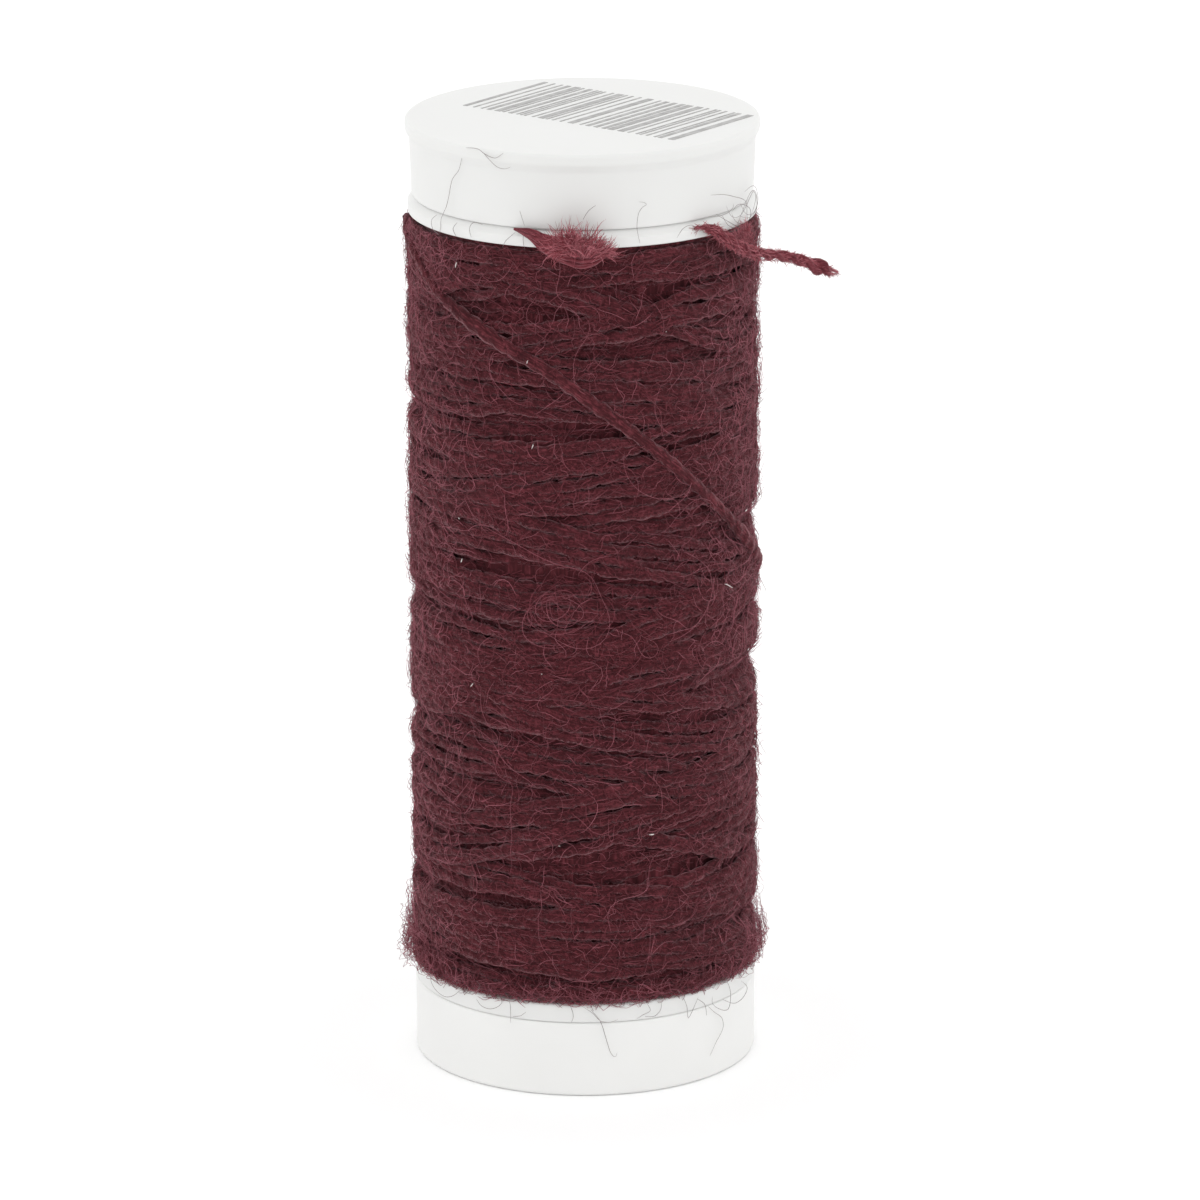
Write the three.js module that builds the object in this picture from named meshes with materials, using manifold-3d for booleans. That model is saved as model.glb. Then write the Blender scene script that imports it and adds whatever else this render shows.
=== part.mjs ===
// Spool of sock reinforcement yarn: a white plastic spool with a cap at each end, wound with
// two-ply yarn whose two ends come out from under the top cap.
// Millimetres, +Z up. The origin is the middle of the flat foot, and the front is the -Y side.

import * as THREE from 'three';
import { mergeVertices } from 'three/addons/utils/BufferGeometryUtils.js';
import Module from 'manifold-3d';

// Driving dimensions
const SPOOL_HEIGHT = 61.0;
const GAP = 0.3;
const YARN_THICK = 0.8;

// Caps: plain cups that snap over the hubs
const CAP_WALL = 1.0;
const CAP_FLOOR = 1.2;
const BASE_RADIUS = 10.87;
const BASE_HEIGHT = 4.9;
const BASE_SHOULDER = 0.5;
const LIP_RADIUS = 11.1;
const LIP_THICK = 0.5;
const SKIRT_TOP_RADIUS = 10.84;
const SKIRT_EDGE_RADIUS = 10.7;
const SKIRT_DEPTH = 4.8;
const EDGE_ROUND = 0.25;

// Core: barrel, flanges and hubs in one moulding
const BARREL_RADIUS = 5.0;
const UPPER_FLANGE_RADIUS = 10.95;
const LOWER_FLANGE_RADIUS = BASE_RADIUS;
const RIM_THICK = 0.35;
const COLLAR_SLOPE = 0.45;

// Winding
const WOUND_RADIUS = 10.35;
const WOUND_TOP_ROUND = { depth: 0.6, drop: 0.2 };
const WOUND_FOOT_ROUND = { depth: 1.1, drop: 0.3 };

const SKIRT_EDGE = SPOOL_HEIGHT - SKIRT_DEPTH;
const COLLAR_TOP = SKIRT_EDGE - GAP;
const COLLAR_EDGE = COLLAR_TOP - COLLAR_SLOPE;
const FLANGE_UNDERSIDE = COLLAR_EDGE - RIM_THICK;
const LOWER_FLANGE = BASE_HEIGHT + GAP;
const LOWER_FLANGE_TOP = LOWER_FLANGE + RIM_THICK;
const WOUND_FOOT = LOWER_FLANGE_TOP + GAP;
const WOUND_TOP = FLANGE_UNDERSIDE - GAP;
const TOP_HUB_RADIUS = SKIRT_EDGE_RADIUS - CAP_WALL - GAP;
const BASE_HUB_RADIUS = BASE_RADIUS - CAP_WALL - GAP;

// Facets
const ROUND_STEPS = 48;
const ARC_STEPS = 3;
const WINDING_STEPS = 64;
const WINDING_ROWS = 56;

// Bands of turns that stand proud of the winding. left and right are the heights of a band's
// middle at the two sides, seen from the front, wide is its half width and proud its rise.
const BANDS = [
  { left: 53.6, right: 52.2, wide: 1.3, proud: 0.42 },
  { left: 49.6, right: 50.6, wide: 1.2, proud: 0.4 },
  { left: 43.6, right: 48.4, wide: 0.9, proud: 0.22 },
  { left: 45.6, right: 42.8, wide: 1.4, proud: 0.48 },
  { left: 35.9, right: 41.6, wide: 1.3, proud: 0.3 },
  { left: 38.2, right: 37.4, wide: 1.1, proud: 0.26 },
  { left: 36.8, right: 31.8, wide: 1.2, proud: 0.34 },
  { left: 30.6, right: 31.4, wide: 1.1, proud: 0.22 },
  { left: 25.2, right: 29.6, wide: 1.4, proud: 0.34 },
  { left: 25.0, right: 19.0, wide: 1.5, proud: 0.32 },
  { left: 20.8, right: 23.4, wide: 1.0, proud: 0.18 },
  { left: 12.9, right: 18.2, wide: 1.5, proud: 0.44 },
  { left: 15.8, right: 12.4, wide: 1.2, proud: 0.3 },
  { left: 10.4, right: 12.0, wide: 1.1, proud: 0.16 },
  { left: 6.9, right: 6.7, wide: 0.9, proud: 0.34 },
];

// The last wrap, slantwise over the others: turn is the angle from the front towards +X in
// degrees, height is above the foot, and sunk is how deep its middle lies under the bands.
const LAST_WRAP = [
  { turn: -92, height: 54.3, sunk: 0.4 },
  { turn: -70, height: 53.5, sunk: 0.1 },
  { turn: -40, height: 51.3, sunk: 0.0 },
  { turn: -17, height: 48.0, sunk: 0.0 },
  { turn: 6, height: 44.9, sunk: 0.0 },
  { turn: 22, height: 42.4, sunk: 0.0 },
  { turn: 42, height: 39.0, sunk: 0.0 },
  { turn: 64, height: 35.4, sunk: 0.0 },
  { turn: 82, height: 32.9, sunk: -0.1 },
  { turn: 104, height: 31.0, sunk: 0.0 },
  { turn: 130, height: 29.6, sunk: 0.1 },
  { turn: 156, height: 28.6, sunk: 0.5 },
];
const WRAP_SHAPE = { steps: 44, sides: 8, spread: 0, pitch: 0 };

// Routes of the two ends, chosen by hand: turn as above, out is the distance from the spool's
// axis, and size is the yarn's thickness there as a share of its full thickness.
const LOOSE_END = [
  { turn: 38.5, out: 10.98, height: 55.78, size: 0.12 },
  { turn: 41.5, out: 11.3, height: 55.86, size: 0.6 },
  { turn: 45.5, out: 11.68, height: 55.45, size: 1.0 },
  { turn: 51.5, out: 11.85, height: 54.6, size: 1.0 },
  { turn: 59.5, out: 11.95, height: 53.75, size: 1.0 },
  { turn: 68.0, out: 12.1, height: 53.15, size: 0.95 },
  { turn: 75.0, out: 12.85, height: 52.75, size: 0.95 },
  { turn: 79.5, out: 13.75, height: 52.3, size: 0.95 },
  { turn: 82.0, out: 14.65, height: 51.85, size: 1.1 },
  { turn: 83.5, out: 15.45, height: 51.5, size: 1.35 },
  { turn: 84.5, out: 16.15, height: 51.05, size: 0.5 },
];
const FRAYED_STRAND = [
  { turn: -21.5, out: 10.98, height: 55.78, size: 0.12 },
  { turn: -19.0, out: 11.35, height: 55.9, size: 0.75 },
  { turn: -15.5, out: 11.8, height: 55.55, size: 1.2 },
  { turn: -11.0, out: 12.05, height: 55.05, size: 1.4 },
  { turn: -6.0, out: 12.2, height: 54.7, size: 1.5 },
  { turn: -1.0, out: 12.3, height: 54.6, size: 1.45 },
  { turn: 4.0, out: 12.3, height: 54.75, size: 1.2 },
  { turn: 7.0, out: 12.2, height: 54.95, size: 0.6 },
];

// How the tubes of yarn are made: spread draws the round section into two plies, and pitch is
// the length of one full twist of the plies, or 0 for none.
const LOOSE_END_SHAPE = { steps: 40, sides: 10, spread: 0.3, pitch: 2.1 };
const STRAND_SHAPE = { steps: 18, sides: 8, spread: 0.15, pitch: 0 };

// Brush of the frayed end: locks that fan out of one root. lean is a lock's angle from
// straight up towards +X, tilt its angle out from the spool, both in degrees.
const BRUSH_ROOT = { turn: 1.0, out: 12.3, height: 54.95 };
const BRUSH_ROOT_SIZE = [1.3, 0.65, 0.6];
const BRUSH_LOCKS = [
  { lean: -74, tilt: 14, long: 2.1 },
  { lean: -53, tilt: 30, long: 2.3 },
  { lean: -35, tilt: 8, long: 2.8 },
  { lean: -19, tilt: 26, long: 2.7 },
  { lean: -5, tilt: 6, long: 3.0 },
  { lean: 9, tilt: 34, long: 2.5 },
  { lean: 22, tilt: 12, long: 2.9 },
  { lean: 40, tilt: 24, long: 2.6 },
  { lean: 57, tilt: 8, long: 2.5 },
  { lean: 77, tilt: 20, long: 2.3 },
];
const LOCK_RADIUS = 0.42;
const LOCK_SIDES = 5;
const ROOT_SIDES = 10;
const ROOT_ROWS = 6;

const PLASTIC = { color: 0xe9eae9, roughness: 0.42, metalness: 0.0 };
const YARN = { color: 0x58262f, roughness: 0.95, metalness: 0.0 };

const wasm = await Module();
wasm.setup();

/** The point at a turn from the front, a distance from the axis and a height, on the spool. */
function onSpool({ turn, out, height }) {
  const angle = THREE.MathUtils.degToRad(turn);
  return new THREE.Vector3(out * Math.sin(angle), -out * Math.cos(angle), height);
}

/** Quarter of a circle about a centre in a profile, from one angle in degrees to another. */
function quarter(centreRadius, centreHeight, radius, fromDeg, toDeg) {
  const points = [];
  for (let step = 0; step <= ARC_STEPS; step += 1) {
    const angle = THREE.MathUtils.degToRad(fromDeg + ((toDeg - fromDeg) * step) / ARC_STEPS);
    points.push([centreRadius + radius * Math.cos(angle), centreHeight + radius * Math.sin(angle)]);
  }
  return points;
}

/** Closed solid of revolution about Z from a profile of [radius, height] pairs. */
function turned(profile, steps = ROUND_STEPS) {
  const points = profile.map(([radius, height]) => new THREE.Vector2(radius, height));
  return new THREE.LatheGeometry(points, steps).rotateX(Math.PI / 2);
}

/** Geometry with only its positions, shared corners merged. */
function welded(geometry) {
  const bare = geometry.clone();
  bare.deleteAttribute('normal');
  bare.deleteAttribute('uv');
  return mergeVertices(bare, 1e-4);
}

/** Closed geometry as a solid that can be joined. */
function solidOf(geometry) {
  const merged = welded(geometry);
  return new wasm.Manifold(
    new wasm.Mesh({
      numProp: 3,
      vertProperties: new Float32Array(merged.attributes.position.array),
      triVerts: new Uint32Array(merged.index.array),
    }),
  );
}

/** Geometry of a joined solid. */
function geometryOf(solid) {
  const mesh = solid.getMesh();
  const geometry = new THREE.BufferGeometry();
  geometry.setAttribute('position', new THREE.BufferAttribute(mesh.vertProperties, 3));
  geometry.setIndex(new THREE.BufferAttribute(mesh.triVerts, 1));
  return geometry;
}

/** Several closed geometries joined into one. */
function joined(geometries) {
  return geometryOf(geometries.map(solidOf).reduce((whole, piece) => whole.add(piece)));
}

/** Radius of the wound yarn at an angle from the front, in radians, and a height. */
function woundRadius(angle, height) {
  let radius = WOUND_RADIUS;
  for (const { left, right, wide, proud } of BANDS) {
    const middle = (left + right) / 2 + ((right - left) / 2) * Math.sin(angle);
    radius += proud * Math.exp(-(((height - middle) / wide) ** 2));
  }
  const topShare = THREE.MathUtils.smoothstep(WOUND_TOP - height, 0, WOUND_TOP_ROUND.depth);
  const footShare = THREE.MathUtils.smoothstep(height - WOUND_FOOT, 0, WOUND_FOOT_ROUND.depth);
  const topDrop = WOUND_TOP_ROUND.drop * (1 - topShare);
  const footDrop = WOUND_FOOT_ROUND.drop * (1 - footShare);
  return radius - topDrop - footDrop;
}

/** Centreline of a yarn that carries its own twist and changes of thickness. */
class YarnPath extends THREE.CatmullRomCurve3 {
  constructor(points, sizes, pitch) {
    super(points, false, 'centripetal');
    this.sizes = sizes;
    this.pitch = pitch;
  }

  /** Thickness share at a share of the length, eased between the route's points. */
  sizeAt(share) {
    const place = this.getUtoTmapping(share) * (this.sizes.length - 1);
    const index = Math.min(Math.floor(place), this.sizes.length - 2);
    return THREE.MathUtils.lerp(this.sizes[index], this.sizes[index + 1], place - index);
  }

  /** Frames that turn about the centreline by the twist and stretch by the thickness. */
  computeFrenetFrames(segments, closed) {
    const frames = super.computeFrenetFrames(segments, closed);
    const turns = this.pitch > 0 ? this.getLength() / this.pitch : 0;
    for (let index = 0; index <= segments; index += 1) {
      const share = index / segments;
      const angle = 2 * Math.PI * turns * share;
      const size = this.sizeAt(share);
      frames.normals[index].applyAxisAngle(frames.tangents[index], angle).multiplyScalar(size);
      frames.binormals[index].applyAxisAngle(frames.tangents[index], angle).multiplyScalar(size);
    }
    return frames;
  }
}

/** Outline of a yarn's section: spread 0 is round, more draws it into two plies. */
function yarnSection(sides, spread) {
  const section = new THREE.Shape();
  for (let index = 0; index < sides; index += 1) {
    const angle = (2 * Math.PI * index) / sides;
    const radius = (YARN_THICK / 2) * (1 - spread * Math.sin(angle) ** 2);
    const point = [radius * Math.cos(angle), radius * Math.sin(angle)];
    if (index === 0) {
      section.moveTo(...point);
    } else {
      section.lineTo(...point);
    }
  }
  section.closePath();
  return section;
}

/** Closed tube of yarn along a route of points on the spool. */
function yarnTube(route, { steps, sides, spread, pitch }) {
  const path = new YarnPath(route.map(onSpool), route.map(({ size }) => size), pitch);
  return new THREE.ExtrudeGeometry(yarnSection(sides, spread), { steps, extrudePath: path });
}

/** Core: hub, flange, barrel, flange with the sloped collar, hub. */
function spoolCore() {
  return turned([
    [0, CAP_FLOOR + GAP],
    [BASE_HUB_RADIUS, CAP_FLOOR + GAP],
    [BASE_HUB_RADIUS, LOWER_FLANGE],
    [LOWER_FLANGE_RADIUS, LOWER_FLANGE],
    [LOWER_FLANGE_RADIUS, LOWER_FLANGE_TOP],
    [BARREL_RADIUS, LOWER_FLANGE_TOP],
    [BARREL_RADIUS, FLANGE_UNDERSIDE],
    [UPPER_FLANGE_RADIUS, FLANGE_UNDERSIDE],
    [UPPER_FLANGE_RADIUS, COLLAR_EDGE],
    [UPPER_FLANGE_RADIUS - COLLAR_SLOPE, COLLAR_TOP],
    [TOP_HUB_RADIUS, COLLAR_TOP],
    [TOP_HUB_RADIUS, SPOOL_HEIGHT - CAP_FLOOR - GAP],
    [0, SPOOL_HEIGHT - CAP_FLOOR - GAP],
  ]);
}

/** Top cap: inside, skirt edge, tapered skirt, overhanging lip and flat top. */
function topCap() {
  const lipFoot = SPOOL_HEIGHT - LIP_THICK;
  return turned([
    [0, SPOOL_HEIGHT - CAP_FLOOR],
    [SKIRT_EDGE_RADIUS - CAP_WALL, SPOOL_HEIGHT - CAP_FLOOR],
    [SKIRT_EDGE_RADIUS - CAP_WALL, SKIRT_EDGE],
    [SKIRT_EDGE_RADIUS - EDGE_ROUND / 2, SKIRT_EDGE],
    [SKIRT_EDGE_RADIUS, SKIRT_EDGE + EDGE_ROUND / 2],
    [SKIRT_TOP_RADIUS, lipFoot],
    [LIP_RADIUS - EDGE_ROUND / 2, lipFoot],
    [LIP_RADIUS, lipFoot + EDGE_ROUND / 2],
    ...quarter(LIP_RADIUS - EDGE_ROUND, SPOOL_HEIGHT - EDGE_ROUND, EDGE_ROUND, 0, 90),
    [0, SPOOL_HEIGHT],
  ]);
}

/** Base cap: flat foot, rounded lower edge, straight wall, rounded shoulder and inside. */
function baseCap() {
  return turned([
    [0, 0],
    ...quarter(BASE_RADIUS - EDGE_ROUND, EDGE_ROUND, EDGE_ROUND, -90, 0),
    ...quarter(BASE_RADIUS - BASE_SHOULDER, BASE_HEIGHT - BASE_SHOULDER, BASE_SHOULDER, 0, 90),
    [BASE_RADIUS - CAP_WALL, BASE_HEIGHT],
    [BASE_RADIUS - CAP_WALL, CAP_FLOOR],
    [0, CAP_FLOOR],
  ]);
}

/** Winding: a sleeve with the bands raised in its outer face, and the last wrap over it. */
function yarnWinding() {
  const inner = BARREL_RADIUS + GAP;
  const profile = [[inner, WOUND_FOOT]];
  for (let row = 0; row <= WINDING_ROWS; row += 1) {
    profile.push([WOUND_RADIUS, THREE.MathUtils.lerp(WOUND_FOOT, WOUND_TOP, row / WINDING_ROWS)]);
  }
  profile.push([inner, WOUND_TOP], [inner, WOUND_FOOT]);
  const sleeve = welded(turned(profile, WINDING_STEPS));
  const place = sleeve.attributes.position;
  for (let index = 0; index < place.count; index += 1) {
    const [x, y, height] = [place.getX(index), place.getY(index), place.getZ(index)];
    if (Math.hypot(x, y) > (inner + WOUND_RADIUS) / 2) {
      const angle = Math.atan2(x, -y);
      const radius = woundRadius(angle, height);
      place.setXY(index, radius * Math.sin(angle), -radius * Math.cos(angle));
    }
  }
  const wrap = LAST_WRAP.map(({ turn, height, sunk }) => {
    const surface = woundRadius(THREE.MathUtils.degToRad(turn), height);
    return { turn, out: surface + YARN_THICK / 4 - sunk, height, size: 1 };
  });
  return joined([sleeve, yarnTube(wrap, WRAP_SHAPE)]);
}

/** Loose end: two plies twisted together, with a fuller tip. */
function looseEnd() {
  return yarnTube(LOOSE_END, LOOSE_END_SHAPE);
}

/** One lock of the brush, a slender cone that leans out of the root. */
function brushLock({ lean, tilt, long }) {
  const leanAngle = THREE.MathUtils.degToRad(lean);
  const tiltAngle = THREE.MathUtils.degToRad(tilt);
  const outward = onSpool({ turn: BRUSH_ROOT.turn, out: 1, height: 0 });
  const up = new THREE.Vector3(0, 0, 1);
  const sideways = new THREE.Vector3().crossVectors(up, outward).normalize();
  const way = new THREE.Vector3()
    .addScaledVector(sideways, Math.sin(leanAngle) * Math.cos(tiltAngle))
    .addScaledVector(up, Math.cos(leanAngle) * Math.cos(tiltAngle))
    .addScaledVector(outward, Math.sin(tiltAngle));
  const coneAxis = new THREE.Vector3(0, 1, 0);
  const root = onSpool(BRUSH_ROOT);
  return new THREE.ConeGeometry(LOCK_RADIUS, long, LOCK_SIDES)
    .translate(0, long / 2, 0)
    .applyQuaternion(new THREE.Quaternion().setFromUnitVectors(coneAxis, way))
    .translate(root.x, root.y, root.z);
}

/** Frayed end: the strand, the root that it swells into, and the brush of locks. */
function frayedEnd() {
  const strand = yarnTube(FRAYED_STRAND, STRAND_SHAPE);
  const centre = onSpool(BRUSH_ROOT);
  const root = new THREE.SphereGeometry(1, ROOT_SIDES, ROOT_ROWS)
    .scale(...BRUSH_ROOT_SIZE)
    .translate(centre.x, centre.y, centre.z);
  return joined([strand, root, ...BRUSH_LOCKS.map(brushLock)]);
}

/** Named mesh of one piece in its own material. */
function piece(name, geometry, finish) {
  const mesh = new THREE.Mesh(geometry, new THREE.MeshStandardMaterial(finish));
  mesh.name = name;
  return mesh;
}

const spool = new THREE.Group();
spool.add(
  piece('spool_core', spoolCore(), PLASTIC),
  piece('top_cap', topCap(), PLASTIC),
  piece('base_cap', baseCap(), PLASTIC),
  piece('yarn_winding', yarnWinding(), YARN),
  piece('loose_end', looseEnd(), YARN),
  piece('frayed_end', frayedEnd(), YARN),
);

export default spool;
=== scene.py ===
"""Spool of sock reinforcement yarn, dressed for the picture.

A white capped spool is wound with a fuzzy two-ply wool yarn, whose two ends come out from under the top cap.
Lengths are millimetres and heights are above the foot, until a mesh is made and MM takes them to metres.
A turn is the angle from the front (-Y) towards +X, in radians unless a name ends in deg.
"""

from __future__ import annotations

import logging
from dataclasses import dataclass, field
from enum import Enum

import bpy
import numpy as np
from mathutils import Matrix, Vector


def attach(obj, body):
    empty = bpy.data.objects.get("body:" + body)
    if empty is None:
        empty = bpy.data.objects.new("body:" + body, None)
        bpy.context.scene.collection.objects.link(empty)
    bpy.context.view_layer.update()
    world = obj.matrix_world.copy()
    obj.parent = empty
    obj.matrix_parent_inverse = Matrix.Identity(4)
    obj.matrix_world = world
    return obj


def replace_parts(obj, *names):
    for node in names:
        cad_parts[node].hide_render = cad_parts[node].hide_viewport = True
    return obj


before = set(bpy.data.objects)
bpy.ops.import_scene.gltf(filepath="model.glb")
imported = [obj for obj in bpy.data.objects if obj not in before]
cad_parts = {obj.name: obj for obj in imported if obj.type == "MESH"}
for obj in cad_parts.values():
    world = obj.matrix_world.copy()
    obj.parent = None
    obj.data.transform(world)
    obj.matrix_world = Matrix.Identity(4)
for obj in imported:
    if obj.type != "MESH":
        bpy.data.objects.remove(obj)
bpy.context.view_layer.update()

MM = 0.001
FULL_TURN = 2 * np.pi
BODY = "root"
LOG = logging.getLogger("spool")
SPAN_POINTS = 24
ASKEW = np.array([0.31, 0.17, 0.93])
Array = np.ndarray
Rng = np.random.Generator
Material = bpy.types.Material
Socket = bpy.types.NodeSocket
Span = tuple[float, float]
Triple = tuple[float, float, float]
Colour = Triple


class Slot(Enum):
    """The record's material slots."""

    PLASTIC = "white_plastic"
    YARN = "wool_yarn"


class FibreEnd(Enum):
    """How a fibre of the fuzz ends: back in the yarn, or free in the air."""

    TUCKED = "tucked"
    FREE = "free"


class Ground(Enum):
    """What fibres stand on.

    The values: True if the last wrap counts, rows over which tops are raised, and the rows and columns over
    which the reach is evened out.
    """

    EACH_TURN = (True, 1, 2, 2)
    UNDER_LAST_WRAP = (False, 2, 4, 3)
    OVER_LAST_WRAP = (True, 2, 4, 3)


def on_spool(turn: Array, out: Array, height: Array) -> Array:
    """Points at turns, distances from the axis and heights.

    Args:
        turn: Angles from the front towards +X, in radians.
        out: Distances from the spool's axis.
        height: Heights above the foot.

    Returns:
        The points, their x, y and z last.
    """
    turn, out, height = np.broadcast_arrays(turn, out, height)
    return np.stack([out * np.sin(turn), -out * np.cos(turn), height], axis=-1)


def unit(vectors: Array) -> Array:
    """The vectors at length one."""
    return vectors / np.maximum(np.linalg.norm(vectors, axis=-1, keepdims=True), 1e-12)


def smoothstep(share: Array) -> Array:
    """Ease in and out between 0 and 1, held at the ends."""
    share = np.clip(share, 0.0, 1.0)
    return share * share * (3.0 - 2.0 * share)


@dataclass(frozen=True)
class Drift:
    """Slow seeded wander of a value, a sum of a few waves.

    Attributes:
        seed: Seed of the waves' phases.
        longest: Length of the longest wave.
        waves: Number of waves.
        shorter: Length of each wave as a share of the last one's.
        weaker: Height of each wave as a share of the last one's.
        full: Sum of the waves that counts as 1.
    """

    seed: int
    longest: float
    waves: int = 4
    shorter: float = 0.6
    weaker: float = 0.75
    full: float = 1.6

    def __call__(self, place: Array) -> Array:
        """The value at each place.

        Args:
            place: Places along the wander.

        Returns:
            The values, mostly between -1 and 1.
        """
        rng = np.random.default_rng(self.seed)
        total = np.zeros_like(place, dtype=float)
        for wave in range(self.waves):
            length = self.longest * self.shorter ** wave
            total += self.weaker ** wave * np.sin(FULL_TURN * (place / length + rng.random()))
        return total / self.full


def smooth_route(points: Array, count: int) -> tuple[Array, Array]:
    """Centripetal curve through points, evenly spaced along its length.

    Args:
        points: The points that the curve goes through.
        count: Number of points to return.

    Returns:
        The curve's points, and each one's place among the given points as a fraction of an index.
    """
    ends = np.vstack([2 * points[0] - points[1], points, 2 * points[-1] - points[-2]])
    knots = np.concatenate([[0.0], np.cumsum(np.sqrt(np.linalg.norm(np.diff(ends, axis=0), axis=1)))])
    dense, places = [], []
    for index in range(1, len(points)):
        share = np.linspace(0.0, 1.0, SPAN_POINTS, endpoint=index == len(points) - 1)
        at = (knots[index] + share * (knots[index + 1] - knots[index]))[:, None]
        near = ends[index - 1:index + 3]
        when = knots[index - 1:index + 3]
        for level in (1, 2, 3):
            near = [
                ((when[i + level] - at) * near[i] + (at - when[i]) * near[i + 1])
                / (when[i + level] - when[i])
                for i in range(4 - level)
            ]
        dense.append(near[0])
        places.append(index - 1 + share)
    dense, places = np.vstack(dense), np.concatenate(places)
    along = np.concatenate([[0.0], np.cumsum(np.linalg.norm(np.diff(dense, axis=0), axis=1))])
    even = np.linspace(0.0, along[-1], count)
    curve = np.stack([np.interp(even, along, dense[:, axis]) for axis in range(3)], axis=1)
    return curve, np.interp(even, along, places)


def length_along(points: Array) -> Array:
    """Length of a line of points from its start to each point."""
    steps = np.linalg.norm(np.diff(points, axis=-2), axis=-1)
    return np.concatenate([np.zeros((*steps.shape[:-1], 1)), np.cumsum(steps, axis=-1)], axis=-1)


def ring_faces(rings: int, sides: int, looped: bool = False) -> tuple[Array, Array]:
    """Faces of a tube whose corners are numbered ring by ring, and then its two end points.

    Args:
        rings: Number of rings.
        sides: Corners in a ring.
        looped: True if the last ring joins the first and there are no end points.

    Returns:
        The quads between the rings, and the triangles that close the ends.
    """
    row = np.arange(rings if looped else rings - 1)[:, None] * sides
    following = (row + sides) % (rings * sides)
    here = np.arange(sides)
    beside = (here + 1) % sides
    quads = np.stack([row + here, row + beside, following + beside, following + here], axis=-1).reshape(-1, 4)
    if looped:
        return quads, np.zeros((0, 3), int)
    first, last, end = rings * sides, rings * sides + 1, (rings - 1) * sides
    start_cap = np.stack([np.full(sides, first), beside, here], axis=-1)
    end_cap = np.stack([np.full(sides, last), end + here, end + beside], axis=-1)
    return quads, np.vstack([start_cap, end_cap])


class MeshBuilder:
    """Corners and faces of one piece, gathered part by part, with marks that its material reads."""

    def __init__(self, mark: str | None = None, width: int = 1) -> None:
        """Starts an empty mesh.

        Args:
            mark: Name of the corners' mark, or None for a plain mesh.
            width: Numbers in a mark, 1 or 3.
        """
        self.mark = mark
        self.width = width
        self.corners: list[Array] = []
        self.marks: list[Array] = []
        self.quads: list[Array] = []
        self.triangles: list[Array] = []
        self.count = 0

    def add(self, corners: Array, quads: Array, triangles: Array, marks: Array | None = None) -> None:
        """Adds one part.

        Args:
            corners: Its corners.
            quads: Its four-sided faces, which count its own corners from 0.
            triangles: Its triangles, which do the same.
            marks: The mark of each corner, or one for all.
        """
        self.corners.append(corners)
        self.quads.append(np.asarray(quads, int).reshape(-1, 4) + self.count)
        self.triangles.append(np.asarray(triangles, int).reshape(-1, 3) + self.count)
        if self.mark:
            self.marks.append(np.broadcast_to(np.asarray(marks, float), (len(corners), self.width)))
        self.count += len(corners)

    def triangle_count(self) -> int:
        """Triangles so far, a quad counted as two."""
        return 2 * sum(map(len, self.quads)) + sum(map(len, self.triangles))

    def piece(self, name: str, material: Material, slot: Slot, flat: bool = False) -> bpy.types.Object:
        """Makes the Blender object, riding the spool's body.

        Args:
            name: Name of the piece.
            material: Its material.
            slot: The record's slot meant for it, not used.
            flat: True for flat faces, False for smooth ones.

        Returns:
            The object.
        """
        corners = np.vstack(self.corners) * MM
        quads, triangles = np.vstack(self.quads), np.vstack(self.triangles)
        mesh = bpy.data.meshes.new(name)
        mesh.vertices.add(len(corners))
        mesh.vertices.foreach_set("co", corners.ravel())
        mesh.loops.add(quads.size + triangles.size)
        mesh.loops.foreach_set("vertex_index", np.concatenate([quads.ravel(), triangles.ravel()]))
        sizes = np.concatenate([np.full(len(quads), 4), np.full(len(triangles), 3)])
        mesh.polygons.add(len(sizes))
        mesh.polygons.foreach_set("loop_start", np.concatenate([[0], np.cumsum(sizes)[:-1]]))
        mesh.polygons.foreach_set("use_smooth", np.full(len(sizes), not flat))
        if self.mark:
            kind = "FLOAT" if self.width == 1 else "FLOAT_VECTOR"
            layer = mesh.attributes.new(self.mark, kind, "POINT")
            key = "value" if self.width == 1 else "vector"
            layer.data.foreach_set(key, np.vstack(self.marks).astype(np.float32).ravel())
        mesh.update(calc_edges=True)
        mesh.validate()
        mesh.materials.append(material)
        made = bpy.data.objects.new(name, mesh)
        bpy.context.scene.collection.objects.link(made)
        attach(made, BODY)
        LOG.info("%s: %d triangles", name, self.triangle_count())
        return made


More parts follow.
